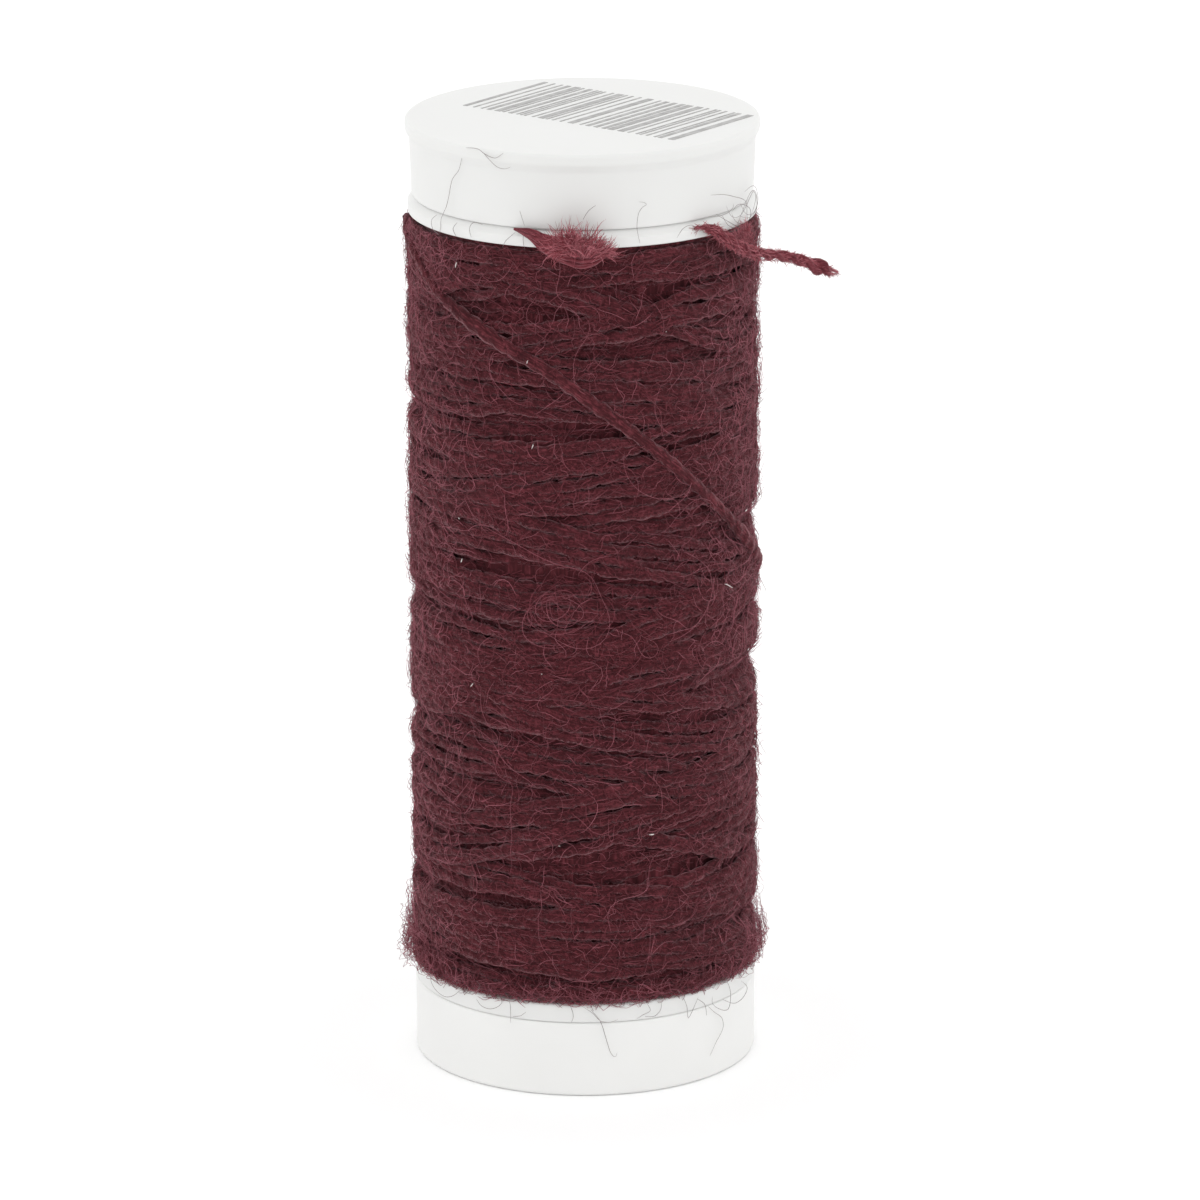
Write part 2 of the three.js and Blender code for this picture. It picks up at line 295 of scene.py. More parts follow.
class Bench:
    """A material's nodes while they are laid out."""

    def __init__(self, name: str) -> None:
        """Starts a material with one shader wired to its output.

        Args:
            name: Name of the material.
        """
        self.material = bpy.data.materials.new(name)
        self.material.use_nodes = True
        self.tree = self.material.node_tree
        self.shader = self.tree.nodes["Principled BSDF"]

    def feed(self, socket: Socket, value: object) -> None:
        """Links a socket to another, or sets it to a constant.

        Args:
            socket: The input to feed.
            value: The other socket, or the constant.
        """
        if isinstance(value, Socket):
            self.tree.links.new(value, socket)
        else:
            socket.default_value = value

    def node(self, kind: str, inputs: dict | None = None, **settings: object) -> bpy.types.Node:
        """Adds a node.

        Args:
            kind: Blender's name of the node, without its ShaderNode.
            inputs: Value or socket for each input, by name or number.
            **settings: Properties of the node.

        Returns:
            The node.
        """
        made = self.tree.nodes.new("ShaderNode" + kind)
        for key, value in settings.items():
            setattr(made, key, value)
        for key, value in (inputs or {}).items():
            self.feed(made.inputs[key], value)
        return made

    def shade(self, **values: object) -> None:
        """Sets inputs of the shader, named with underscores for spaces."""
        for key, value in values.items():
            self.feed(self.shader.inputs[key.replace("_", " ")], value)

    def noise(self, place: Socket, scale: float, detail: float) -> Socket:
        """Value of a noise at a place, from its scale and its number of finer octaves."""
        return self.node("TexNoise", {"Vector": place, "Scale": scale, "Detail": detail}).outputs[0]

    def stretched(self, place: Socket, stretch: Triple) -> Socket:
        """The place with each of its numbers multiplied."""
        return self.node("VectorMath", {0: place, 1: stretch}, operation="MULTIPLY").outputs[0]

    def weighted(self, value: Socket, weight: float, rest: Socket | float = 0.0) -> Socket:
        """The rest plus the value times its weight."""
        return self.node("Math", {0: value, 1: weight, 2: rest}, operation="MULTIPLY_ADD").outputs[0]

    def ramp(self, share: Socket, stops: list[tuple[float, Colour]]) -> Socket:
        """Colour of a ramp at a share.

        Args:
            share: Place on the ramp, from 0 to 1.
            stops: Place and colour of each stop, in order.

        Returns:
            The colour's socket.
        """
        made = self.node("ValToRGB", {"Fac": share})
        elements = made.color_ramp.elements
        while len(elements) < len(stops):
            elements.new(0.5)
        for element, (place, colour) in zip(elements, stops):
            element.position = place
            element.color = (*colour, 1.0)
        return made.outputs[0]


@dataclass(frozen=True)
class MouldedPlastic:
    """Satin white polypropylene with a faint moulded skin.

    Attributes:
        name: Name of the material.
        colour: Colour of the clean plastic.
        dull: Colour of its slightly dull patches.
        roughness: Least and most roughness.
        patches: Dull patches to a metre.
        grains: Grains of the moulded skin to a metre.
        skin: Depth of that skin, in metres.
    """

    name: str = "satin_polypropylene"
    colour: Colour = (0.705, 0.706, 0.695)
    dull: Colour = (0.688, 0.689, 0.677)
    roughness: Span = (0.34, 0.48)
    patches: float = 90.0
    grains: float = 2600.0
    skin: float = 0.00002

    def material(self) -> Material:
        """Builds the material.

        Returns:
            The material.
        """
        bench = Bench(self.name)
        place = bench.node("TexCoord").outputs["Object"]
        patches = bench.noise(place, self.patches, 4.0)
        grain = bench.noise(place, self.grains, 2.0)
        rough = bench.node("MapRange", {0: patches, 3: self.roughness[0], 4: self.roughness[1]})
        bump = bench.node("Bump", {"Height": grain, "Strength": 0.25, "Distance": self.skin})
        bench.shade(
            Base_Color=bench.ramp(patches, [(0.35, self.dull), (0.65, self.colour)]),
            Roughness=rough.outputs[0], Normal=bump.outputs[0], Specular_IOR_Level=0.45,
            Subsurface_Weight=0.12, Subsurface_Radius=(1.0, 1.0, 0.9), Subsurface_Scale=0.0008,
        )
        return bench.material


@dataclass(frozen=True)
class Ink:
    """Thin grey print, broken a little by the plastic under it.

    Attributes:
        name: Name of the material.
        colour: Colour of the full ink.
        worn: Colour where the ink is thin.
        specks: Thin specks to a metre.
    """

    name: str = "grey_ink"
    colour: Colour = (0.30, 0.295, 0.29)
    worn: Colour = (0.46, 0.455, 0.45)
    specks: float = 1800.0

    def material(self) -> Material:
        """Builds the material.

        Returns:
            The material.
        """
        bench = Bench(self.name)
        place = bench.node("TexCoord").outputs["Object"]
        thin = bench.noise(place, self.specks, 3.0)
        bench.shade(Base_Color=bench.ramp(thin, [(0.35, self.colour), (0.75, self.worn)]), Roughness=0.55)
        return bench.material


@dataclass(frozen=True)
class CardedWool:
    """Two-ply wool, streaked along its plies, its darkest streaks partly painted shade deep between the
    fibres.

    Attributes:
        name: Name of the material.
        groove: Darkest colour, partly the wool's own dark fibres and partly painted shade deep between the
            fibres.
        body: Colour of most of the yarn.
        light: Colour of the lightest fibres.
        streaks: Streaks of drawn fibres to a millimetre, twice across the ply and once along it.
        tangles: Tangled fibres to a millimetre, the same way.
        tones: Slow changes of tone to a millimetre.
        streak_weight: Weight of the streaks beside the tangles.
        tone_weight: Weight of the slow changes.
        relief: Depth of the fibres, in metres.
    """

    name: str = "burgundy_wool"
    groove: Colour = (0.020, 0.0040, 0.0054)
    body: Colour = (0.061, 0.0116, 0.0152)
    light: Colour = (0.175, 0.039, 0.050)
    streaks: Triple = (11.0, 11.0, 0.8)
    tangles: Triple = (5.0, 5.0, 3.2)
    tones: float = 0.22
    streak_weight: float = 0.62
    tone_weight: float = 0.22
    relief: float = 0.00009

    def material(self) -> Material:
        """Builds the material, which reads each corner's place in the yarn from the mark "lie".

        Returns:
            The material.
        """
        bench = Bench(self.name)
        lie = bench.node("Attribute", attribute_name="lie").outputs["Vector"]
        streaks = bench.noise(bench.stretched(lie, self.streaks), 1.0, 4.0)
        tangles = bench.noise(bench.stretched(lie, self.tangles), 1.0, 3.0)
        mixed = bench.weighted(streaks, self.streak_weight)
        mixed = bench.weighted(tangles, 1 - self.streak_weight, mixed)
        toned = bench.weighted(bench.noise(lie, self.tones, 2.0), self.tone_weight, mixed)
        # The darkest stop, laid where the noise is lowest, is partly painted shade between the fibres.
        colour = bench.ramp(toned, [(0.40, self.groove), (0.60, self.body), (0.80, self.light)])
        bump = bench.node("Bump", {"Height": mixed, "Strength": 1.0, "Distance": self.relief})
        bench.shade(
            Base_Color=colour, Roughness=0.92, Normal=bump.outputs[0], Specular_IOR_Level=0.12,
            Sheen_Weight=0.38, Sheen_Roughness=0.4, Sheen_Tint=(1.0, 0.55, 0.60, 1.0),
        )
        return bench.material


@dataclass(frozen=True)
class LooseFibre:
    """Single fibres, from dark to pale by the mark "shade" of each.

    Attributes:
        name: Name of the material.
        dark: Colour of the darkest fibres.
        middle: Colour of most fibres.
        pale: Colour of the palest fibres.
        flecks: Flecks along them to a metre.
    """

    name: str
    dark: Colour
    middle: Colour
    pale: Colour
    flecks: float = 900.0

    def material(self) -> Material:
        """Builds the material.

        Returns:
            The material.
        """
        bench = Bench(self.name)
        shade = bench.node("Attribute", attribute_name="shade").outputs["Fac"]
        place = bench.node("TexCoord").outputs["Object"]
        mixed = bench.weighted(bench.noise(place, self.flecks, 2.0), 0.35, shade)
        bench.shade(
            Base_Color=bench.ramp(mixed, [(0.15, self.dark), (0.65, self.middle), (1.0, self.pale)]),
            Roughness=0.8, Specular_IOR_Level=0.25,
            Sheen_Weight=0.15, Sheen_Roughness=0.5, Sheen_Tint=(1.0, 0.6, 0.66, 1.0),
        )
        return bench.material


# The base cap's plastic is a lighter copy of the core's: painted light from the floor below it.
BASE_PLASTIC_PAINTED_LIGHT = MouldedPlastic("base_polypropylene_painted_light", (0.765, 0.765, 0.752), (0.745, 0.745, 0.732))
# The free ends' wool is a lighter copy of the wound wool: painted light for ends that stand free of shade and
# let light through.
FREE_WOOL_PAINTED_LIGHT = CardedWool("free_wool_painted_light", (0.05, 0.010, 0.014), (0.145, 0.030, 0.039), (0.27, 0.075, 0.092))
WOOL_FIBRE = LooseFibre("burgundy_fibre", (0.085, 0.013, 0.019), (0.165, 0.031, 0.042), (0.36, 0.115, 0.145))
# The free ends' fibres are likewise a lighter copy: painted light, as for their wool.
FREE_FIBRE_PAINTED_LIGHT = LooseFibre("free_fibre_painted_light", (0.13, 0.020, 0.028), (0.32, 0.063, 0.081), (0.54, 0.180, 0.212))
GREY_HAIR = LooseFibre("grey_hair", (0.10, 0.07, 0.07), (0.22, 0.19, 0.19), (0.34, 0.31, 0.31))
PALE_LINT = LooseFibre("pale_lint", (0.45, 0.38, 0.38), (0.65, 0.6, 0.58), (0.8, 0.77, 0.74))


@dataclass(frozen=True)
class Corner:
    """One corner of a turned profile: its distance from the axis, its height and its rounding."""

    out: float
    height: float
    round: float = 0.0


@dataclass(frozen=True)
class TurnedPart:
    """Closed moulding of revolution about the spool's axis.

    Attributes:
        corners: The profile's corners, from the axis and back to it, or a closed ring of them.
        steps: Facets round the axis.
        arc_steps: Facets on a rounded corner.
        support: Share of a rounding at which the flats beside it get a row.
    """

    corners: tuple[Corner, ...]
    steps: int = 144
    arc_steps: int = 5
    support: float = 0.6

    @property
    def on_axis(self) -> bool:
        """True if the profile starts and ends on the axis."""
        return self.corners[0].out == 0

    def rounding(self, index: int) -> list[Array]:
        """Points of one rounded corner, with a supporting point before and after it.

        Args:
            index: The corner's number.

        Returns:
            The points, as distance and height.
        """
        before, corner, after = (self.corners[i % len(self.corners)] for i in (index - 1, index, index + 1))
        here = np.array([corner.out, corner.height])
        back = unit(np.array([before.out, before.height]) - here)
        ahead = unit(np.array([after.out, after.height]) - here)
        half = np.arccos(np.clip(back @ ahead, -1, 1)) / 2
        run = corner.round / np.tan(half)
        centre = here + unit(back + ahead) * corner.round / np.sin(half)
        start, stop = here + back * run - centre, here + ahead * run - centre
        sweep = np.pi - 2 * half
        points = [centre + start + back * run * self.support]
        for step in range(self.arc_steps + 1):
            share = step / self.arc_steps
            blend = np.sin((1 - share) * sweep) * start + np.sin(share * sweep) * stop
            points.append(centre + blend / np.sin(sweep))
        points.append(centre + stop + ahead * run * self.support)
        return points

    def profile(self) -> Array:
        """The rounded profile.

        Returns:
            Its points in order, as rows of distance and height.
        """
        points: list[Array] = []
        sharp_ends = (0, len(self.corners) - 1) if self.on_axis else ()
        for index, corner in enumerate(self.corners):
            if corner.round == 0 or index in sharp_ends:
                points.append(np.array([corner.out, corner.height]))
            else:
                points += self.rounding(index)
        return np.array(points)

    def build(self) -> MeshBuilder:
        """Turns the profile into a mesh.

        Returns:
            The mesh, not yet a piece.
        """
        profile = self.profile()
        rings = profile[1:-1] if self.on_axis else profile
        turn = np.arange(self.steps) * FULL_TURN / self.steps
        corners = on_spool(turn[None, :], rings[:, :1], rings[:, 1:]).reshape(-1, 3)
        if self.on_axis:
            corners = np.vstack([corners, [[0.0, 0.0, profile[0, 1]], [0.0, 0.0, profile[-1, 1]]]])
        made = MeshBuilder()
        made.add(corners, *ring_faces(len(rings), self.steps, looped=not self.on_axis))
        return made


@dataclass(frozen=True)
class Spool:
    """The white mouldings: the core with its flanges and hubs, and the two caps.

    Attributes:
        height: Height of the whole spool.
        gap: Room between the mouldings.
        seam: Width of the seam between a cap and the core's rim.
        wall: Thickness of the caps' walls.
        floor: Thickness of the caps' flat ends.
        base_radius: Radius of the base cap.
        base_height: Height of the base cap.
        base_shoulder: Rounding of the base cap's upper edge.
        lip_radius: Radius of the top cap's lip.
        lip_thick: Thickness of that lip.
        lip_fillet: Rounding where the skirt turns out into the lip.
        lip_fillet_drop: Height of that fillet under the lip.
        lip_under: Rounding of the lip's lower edge.
        lip_over: Rounding of the lip's upper edge.
        skirt_top_radius: Radius of the skirt under the lip.
        skirt_edge_radius: Radius of the skirt's lower edge.
        skirt_depth: Depth of the top cap.
        edge_round: Rounding of the moulded edges.
        hub_round: Rounding of the grooves where the hubs meet the rims.
        barrel_radius: Radius of the barrel under the yarn.
        upper_flange_radius: Radius of the flange above the yarn.
        rim_thick: Thickness of the upper flange's rim.
        rim_round: Rounding of its edges.
        lower_rim_thick: Thickness of the lower flange's rim.
        lower_rim_round: Rounding of its upper edge.
        collar_slope: Rise and run of the collar above the upper rim.
    """

    height: float = 61.0
    gap: float = 0.3
    seam: float = 0.025
    wall: float = 1.0
    floor: float = 1.2
    base_radius: float = 10.87
    base_height: float = 4.9
    base_shoulder: float = 0.2
    lip_radius: float = 11.1
    lip_thick: float = 0.65
    lip_fillet: float = 0.6
    lip_fillet_drop: float = 0.5
    lip_under: float = 0.5
    lip_over: float = 0.2
    skirt_top_radius: float = 10.84
    skirt_edge_radius: float = 10.7
    skirt_depth: float = 4.8
    edge_round: float = 0.25
    hub_round: float = 0.1
    barrel_radius: float = 5.0
    upper_flange_radius: float = 10.95
    rim_thick: float = 0.35
    rim_round: float = 0.105
    lower_rim_thick: float = 0.9
    lower_rim_round: float = 0.2
    collar_slope: float = 0.45

    @property
    def skirt_edge(self) -> float:
        """Height of the top cap's lower edge."""
        return self.height - self.skirt_depth

    @property
    def flange_underside(self) -> float:
        """Height of the upper flange's underside."""
        return self.skirt_edge - self.gap - self.collar_slope - self.rim_thick

    @property
    def lower_flange_top(self) -> float:
        """Height of the lower flange's upper face."""
        return self.base_height + self.gap + self.lower_rim_thick

    def core(self) -> TurnedPart:
        """Core: hub, flange, barrel, flange with the sloped collar, hub.

        Returns:
            The moulding.
        """
        base_hub = self.base_radius - self.wall - self.gap
        top_hub = self.skirt_edge_radius - self.wall - self.gap
        collar_top = self.skirt_edge - self.seam
        inside = self.floor + self.gap
        base_seam = self.base_height + self.seam / 2
        return TurnedPart((
            Corner(0, inside),
            Corner(base_hub, inside, self.gap),
            Corner(base_hub, base_seam, self.hub_round),
            Corner(self.base_radius, base_seam, self.rim_round),
            Corner(self.base_radius, self.lower_flange_top, self.lower_rim_round),
            Corner(self.barrel_radius, self.lower_flange_top, self.gap),
            Corner(self.barrel_radius, self.flange_underside, self.gap),
            Corner(self.upper_flange_radius, self.flange_underside, self.rim_round),
            Corner(self.upper_flange_radius, collar_top - self.collar_slope, self.rim_round),
            Corner(self.upper_flange_radius - self.collar_slope, collar_top, self.rim_round),
            Corner(top_hub, collar_top, self.hub_round),
            Corner(top_hub, self.height - inside, self.gap),
            Corner(0, self.height - inside),
        ))

    def top_cap(self) -> TurnedPart:
        """Top cap: inside, skirt edge, tapered skirt, overhanging lip and flat top.

        Returns:
            The moulding.
        """
        lip_foot = self.height - self.lip_thick
        inner = self.skirt_edge_radius - self.wall
        return TurnedPart((
            Corner(0, self.height - self.floor),
            Corner(inner, self.height - self.floor, self.edge_round),
            Corner(inner, self.skirt_edge, self.edge_round / 2),
            Corner(self.skirt_edge_radius, self.skirt_edge, self.edge_round / 2),
            Corner(self.skirt_top_radius, lip_foot - self.lip_fillet_drop, self.lip_fillet),
            Corner(self.lip_radius, lip_foot, self.lip_under),
            Corner(self.lip_radius, self.height, self.lip_over),
            Corner(0, self.height),
        ))

    def base_cap(self) -> TurnedPart:
        """Base cap: flat foot, rounded lower edge, straight wall, rounded shoulder and inside.

        Returns:
            The moulding.
        """
        inner = self.base_radius - self.wall
        return TurnedPart((
            Corner(0, 0),
            Corner(self.base_radius, 0, self.edge_round),
            Corner(self.base_radius, self.base_height, self.base_shoulder),
            Corner(inner, self.base_height, self.edge_round / 2),
            Corner(inner, self.floor, self.edge_round),
            Corner(0, self.floor),
        ))

    def build(self, plastic: Material, base_plastic_painted_light: Material) -> None:
        """Makes the three mouldings in place of their plain solids.

        Args:
            plastic: Plastic of the core and the top cap.
            base_plastic_painted_light: Lighter copy of the plastic for the base cap, painted light from the
                floor below it.
        """
        for name, node, part, finish in (
            ("moulded_core", "spool_core", self.core(), plastic),
            ("moulded_top_cap", "top_cap", self.top_cap(), plastic),
            ("moulded_base_cap", "base_cap", self.base_cap(), base_plastic_painted_light),
        ):
            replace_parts(part.build().piece(name, finish, Slot.PLASTIC), node)


@dataclass(frozen=True)
class PrintedBars:
    """Block of plain grey bars printed on the flat top, in a rhythm of its own and without figures.

    Attributes:
        centre: Middle of the block, as x and y.
        length: Its length across the bars.
        width: Length of a bar.
        slant_deg: Direction of the block's length from +X.
        thinnest: Width of the thinnest bar.
        bars: Widths of bars to draw from, in thinnest bars.
        spaces: Widths of the spaces between them, the same way.
        ink: Thickness of the ink.
        reach: Radius that no ink lies outside.
        seed: Seed of the rhythm.
    """

    centre: tuple[float, float] = (1.75, 1.25)
    length: float = 16.8
    width: float = 8.4
    slant_deg: float = -37.0
    thinnest: float = 0.155
    bars: tuple[int, ...] = (1, 1, 2, 3)
    spaces: tuple[int, ...] = (1, 2, 2, 3)
    ink: float = 0.02
    reach: float = 10.75
    seed: int = 5

    def build(self, top: float, ink: Material) -> None:
        """Makes the bars on the flat top.

        Args:
            top: Height of the top.
            ink: Their ink.
        """
        rng = np.random.default_rng(self.seed)
        slant = np.radians(self.slant_deg)
        across = np.array([np.cos(slant), np.sin(slant)])
        up = np.array([-across[1], across[0]])
        ring = [(i, (i + 1) % 4) for i in range(4)]
        faces = [[3, 2, 1, 0], [4, 5, 6, 7], *([i, j, j + 4, i + 4] for i, j in ring)]
        made = MeshBuilder()
        place = -self.length / 2
        while place < self.length / 2:
            wide = self.thinnest * rng.choice(self.bars)
            ends = np.array([-self.width / 2, self.width / 2])
            middle = np.array(self.centre) + across * (place + wide / 2)
            along = middle @ up
            limit = np.sqrt(max(self.reach ** 2 - (middle @ across) ** 2, 0.0))
            ends = np.clip(ends, -limit - along, limit - along)
            outline = [middle + across * side * wide / 2 + up * end
                       for side, end in ((-1, ends[0]), (1, ends[0]), (1, ends[1]), (-1, ends[1]))]
            low, high = (np.column_stack([outline, np.full(4, top + side * self.ink)]) for side in (-1, 1))
            made.add(np.vstack([low, high]), faces, np.zeros((0, 3), int))
            place += wide + self.thinnest * rng.choice(self.spaces)
        made.piece("printed_bars", ink, Slot.PLASTIC, flat=True)


@dataclass
class HeightField:
    """How far the yarn reaches from the axis, by turn and height, while it is wound.

    Attributes:
        foot: Height of the winding's lower end.
        top: Height of its upper end.
        columns: Samples round the spool.
        pitch: Height between two rows.
        bed: Radius at which the outer layers start.
        foot_fall: How far that bed falls at the foot, and over what height.
        top_fall: The same at the top.
        rows: Samples from the foot to the top.
        reach: Reach of all the yarn, by row and column.
        before_wrap: The reach without the last wrap.
        lean: Rise of the uppermost strand there for a millimetre along it.
    """

    foot: float
    top: float
    columns: int = 180
    pitch: float = 0.1
    bed: float = 9.4
    foot_fall: Span = (0.35, 1.6)
    top_fall: Span = (0.2, 0.6)
    rows: int = field(init=False)
    reach: Array = field(init=False)
    before_wrap: Array = field(init=False)
    lean: Array = field(init=False)

    def __post_init__(self) -> None:
        """Starts with a smooth bed that falls a little at both ends."""
        self.rows = int(round((self.top - self.foot) / self.pitch)) + 1
        height = self.foot + np.arange(self.rows) * self.pitch
        fall = self.foot_fall[0] * (1 - smoothstep((height - self.foot) / self.foot_fall[1]))
        fall = fall + self.top_fall[0] * (1 - smoothstep((self.top - height) / self.top_fall[1]))
        self.reach = np.repeat((self.bed - fall)[:, None], self.columns, axis=1)
        self.before_wrap = self.reach
        self.lean = np.zeros_like(self.reach)

    def footprint(self, height: Array, half_wide: float, half_thick: float) -> tuple[Array, Array]:
        """Rows under a strand and the half thickness of the strand over each.

        Args:
            height: Height of the strand's middle at each sample.
            half_wide: Half the strand's width.
            half_thick: Half the strand's thickness.

        Returns:
            Rows and half thicknesses, one line for each sample. Beside the strand the latter is -inf.
        """
        span = int(np.ceil(half_wide / self.pitch))
        nearest = np.rint((height - self.foot) / self.pitch).astype(int)
        rows = np.clip(nearest[:, None] + np.arange(-span, span + 1), 0, self.rows - 1)
        away = (self.foot + rows * self.pitch - height[:, None]) / half_wide
        rise = half_thick * np.sqrt(np.clip(1 - away ** 2, 0, None))
        return rows, np.where(np.abs(away) < 1, rise, -np.inf)

    def press(self, rows: Array, column: Array, tops: Array, lean: Array) -> None:
        """Raises the reach to a strand's tops, and keeps the lean of the strand that lies uppermost.

        Args:
            rows: Rows under the strand, one line for each sample.
            column: Column of each sample.
            tops: Distance of the strand's top from the axis, over each row.
            lean: The strand's lean at each sample.
        """
        under = self.reach[rows, column]
        self.lean[rows, column] = np.where(tops > under, lean, self.lean[rows, column])
        self.reach[rows, column] = np.maximum(under, tops)

    def smoothed(self, ground: Ground) -> Array:
        """The reach, raised to the tops near by and then evened out.

        Args:
            ground: How much it is evened out.

        Returns:
            The evened grid, by row and column.
        """
        with_wrap, raised, radius_rows, radius_columns = ground.value
        grid = self.reach if with_wrap else self.before_wrap
        tops = grid.copy()
        for shift in range(-raised, raised + 1):
            tops = np.maximum(tops, np.roll(grid, shift, axis=0))
        kernel = np.hanning(2 * radius_rows + 3)[1:-1]
        padded = np.pad(tops, ((radius_rows, radius_rows), (0, 0)), mode="edge")
        tops = sum(w * padded[i:i + self.rows] for i, w in enumerate(kernel)) / kernel.sum()
        kernel = np.hanning(2 * radius_columns + 3)[1:-1]
        rolled = [w * np.roll(tops, i - radius_columns, axis=1) for i, w in enumerate(kernel)]
        return sum(rolled) / kernel.sum()

    def sampled(self, grid: Array, turn: Array, height: Array) -> Array:
        """Values of a grid over the winding, blended between its samples.

        Args:
            grid: One value for each row and column.
            turn: Turns to look up.
            height: Heights to look up, held at the winding's ends.

        Returns:
            The values.
        """
        column = (turn / FULL_TURN * self.columns) % self.columns
        row = np.clip((height - self.foot) / self.pitch, 0, self.rows - 1.001)
        left, low = np.floor(column).astype(int) % self.columns, np.floor(row).astype(int)
        right, high = (left + 1) % self.columns, low + 1
        share, rise = column - np.floor(column), row - low
        lower = grid[low, left] * (1 - share) + grid[low, right] * share
        upper = grid[high, left] * (1 - share) + grid[high, right] * share
        return lower * (1 - rise) + upper * rise


@dataclass(frozen=True)
class Ply:
    """Section of the yarn: two plies twisted to the right and pressed a little flat.

    Attributes:
        half_wide: Half the yarn's width on the package.
        half_thick: Half its thickness there.
        waist: Radius at the groove between the plies, as a share of the full radius.
        pitch: Length of a full twist.
        sides: Corners of the section.
    """

    half_wide: float = 0.43
    half_thick: float = 0.36
    waist: float = 0.79
    pitch: float = 2.4
    sides: int = 8

    def tube(self, made: MeshBuilder, points: Array, normals: Array, size: Array, along: Array) -> None:
        """Adds a closed tube of yarn.

        Args:
            made: Mesh that it is added to.
            points: Its centreline.
            normals: Directions away from what it lies on.
            size: Share of the full thickness at each point.
            along: Length of yarn from the first end to each point, which turns the twist.
        """
        tangent = unit(np.gradient(points, axis=0))
        beside = unit(np.cross(normals, tangent))
        away = np.cross(tangent, beside)
        angle = np.arange(self.sides) * FULL_TURN / self.sides
        lobes = np.sqrt(self.waist ** 2 + (1 - self.waist ** 2) * np.cos(angle) ** 2)
        turned = angle[None, :] + FULL_TURN * along[:, None] / self.pitch
        wide = (np.cos(turned) * lobes * size[:, None] * self.half_wide)[..., None]
        thick = (np.sin(turned) * lobes * size[:, None] * self.half_thick)[..., None]
        rings = points[:, None] + wide * beside[:, None] + thick * away[:, None]
        lie = np.stack([np.cos(turned) * lobes * self.half_wide, np.sin(turned) * lobes * self.half_wide,
                        np.broadcast_to(along[:, None], turned.shape)], axis=-1)
        corners = np.vstack([rings.reshape(-1, 3), points[0], points[-1]])
        marks = np.vstack([lie.reshape(-1, 3), [0, 0, along[0]], [0, 0, along[-1]]])
        made.add(corners, *ring_faces(len(points), self.sides), marks)


@dataclass(frozen=True)
class Layer:
    """A full layer of even turns, which tilt more or less from one height to the next.

    Attributes:
        rising: True if it is wound from the foot up.
        right: Mean and change of the turns' rise towards the right.
        front: The same towards the front.
        seed: Seed of its unevenness.
        right_change: How the rise towards the right changes with height.
        front_change: The same towards the front.
    """

    rising: bool
    right: Span
    front: Span
    seed: int
    right_change: Drift = Drift(7, 13.0, 2)
    front_change: Drift = Drift(8, 16.0, 2)

    def tilt(self, middle: Array, turn: Array) -> Array:
        """How far the yarn lies above the middle of its turn.

        Args:
            middle: Middle height of the turn at each sample.
            turn: Turn of each sample.

        Returns:
            The height above the middle at each sample.
        """
        lean = self.right[0] + self.right[1] * self.right_change(middle)
        askew = self.front[0] + self.front[1] * self.front_change(middle)
        return lean * np.sin(turn) - askew * np.cos(turn)


@dataclass(frozen=True)
class Group:
    """Turns that lie side by side, with the heights of their middle at five turns in front.

    Attributes:
        heights: Heights at 60 and 30 degrees to the left, in front, and at 30 and 60 degrees to the right.
        turns: Number of turns.
        front_deg: The turns of these heights.
        back_deg: Turns at which the course round the back is set.
        samples: Samples round the spool.
        soften: Samples on either side that even out each.
    """

    heights: tuple[float, float, float, float, float]
    turns: int = 3
    front_deg: tuple[int, ...] = (-60, -30, 0, 30, 60)
    back_deg: tuple[int, ...] = (120, 180, 240, 300)
    samples: int = 180
    soften: int = 10

    def course(self, turn: Array) -> Array:
        """Height of the group's middle, which runs evenly round the back.

        Args:
            turn: Turns to look up.

        Returns:
            The height at each.
        """
        knots = np.radians([*self.front_deg, *self.back_deg]) % FULL_TURN
        left, right = self.heights[0], self.heights[-1]
        back = [right + (left - right) * smoothstep(share) for share in (0.25, 0.5, 0.75, 1.0)]
        known, order = np.array([*self.heights, *back]), np.argsort(knots)
        even = np.linspace(-np.pi, np.pi, self.samples + 1)[:-1] % FULL_TURN
        rough = np.interp(even, knots[order], known[order], period=FULL_TURN)
        kernel = np.hanning(2 * self.soften + 3)[1:-1]
        soft = np.convolve(np.pad(rough, self.soften, mode="wrap"), kernel / kernel.sum(), mode="valid")
        return np.interp(turn % FULL_TURN, even, soft, period=FULL_TURN)


@dataclass(frozen=True)
class WrapPoint:
    """One point of the last wrap: its turn, its height, and how deep it sinks between the others."""

    turn_deg: float
    height: float
    sunk: float = 0.0


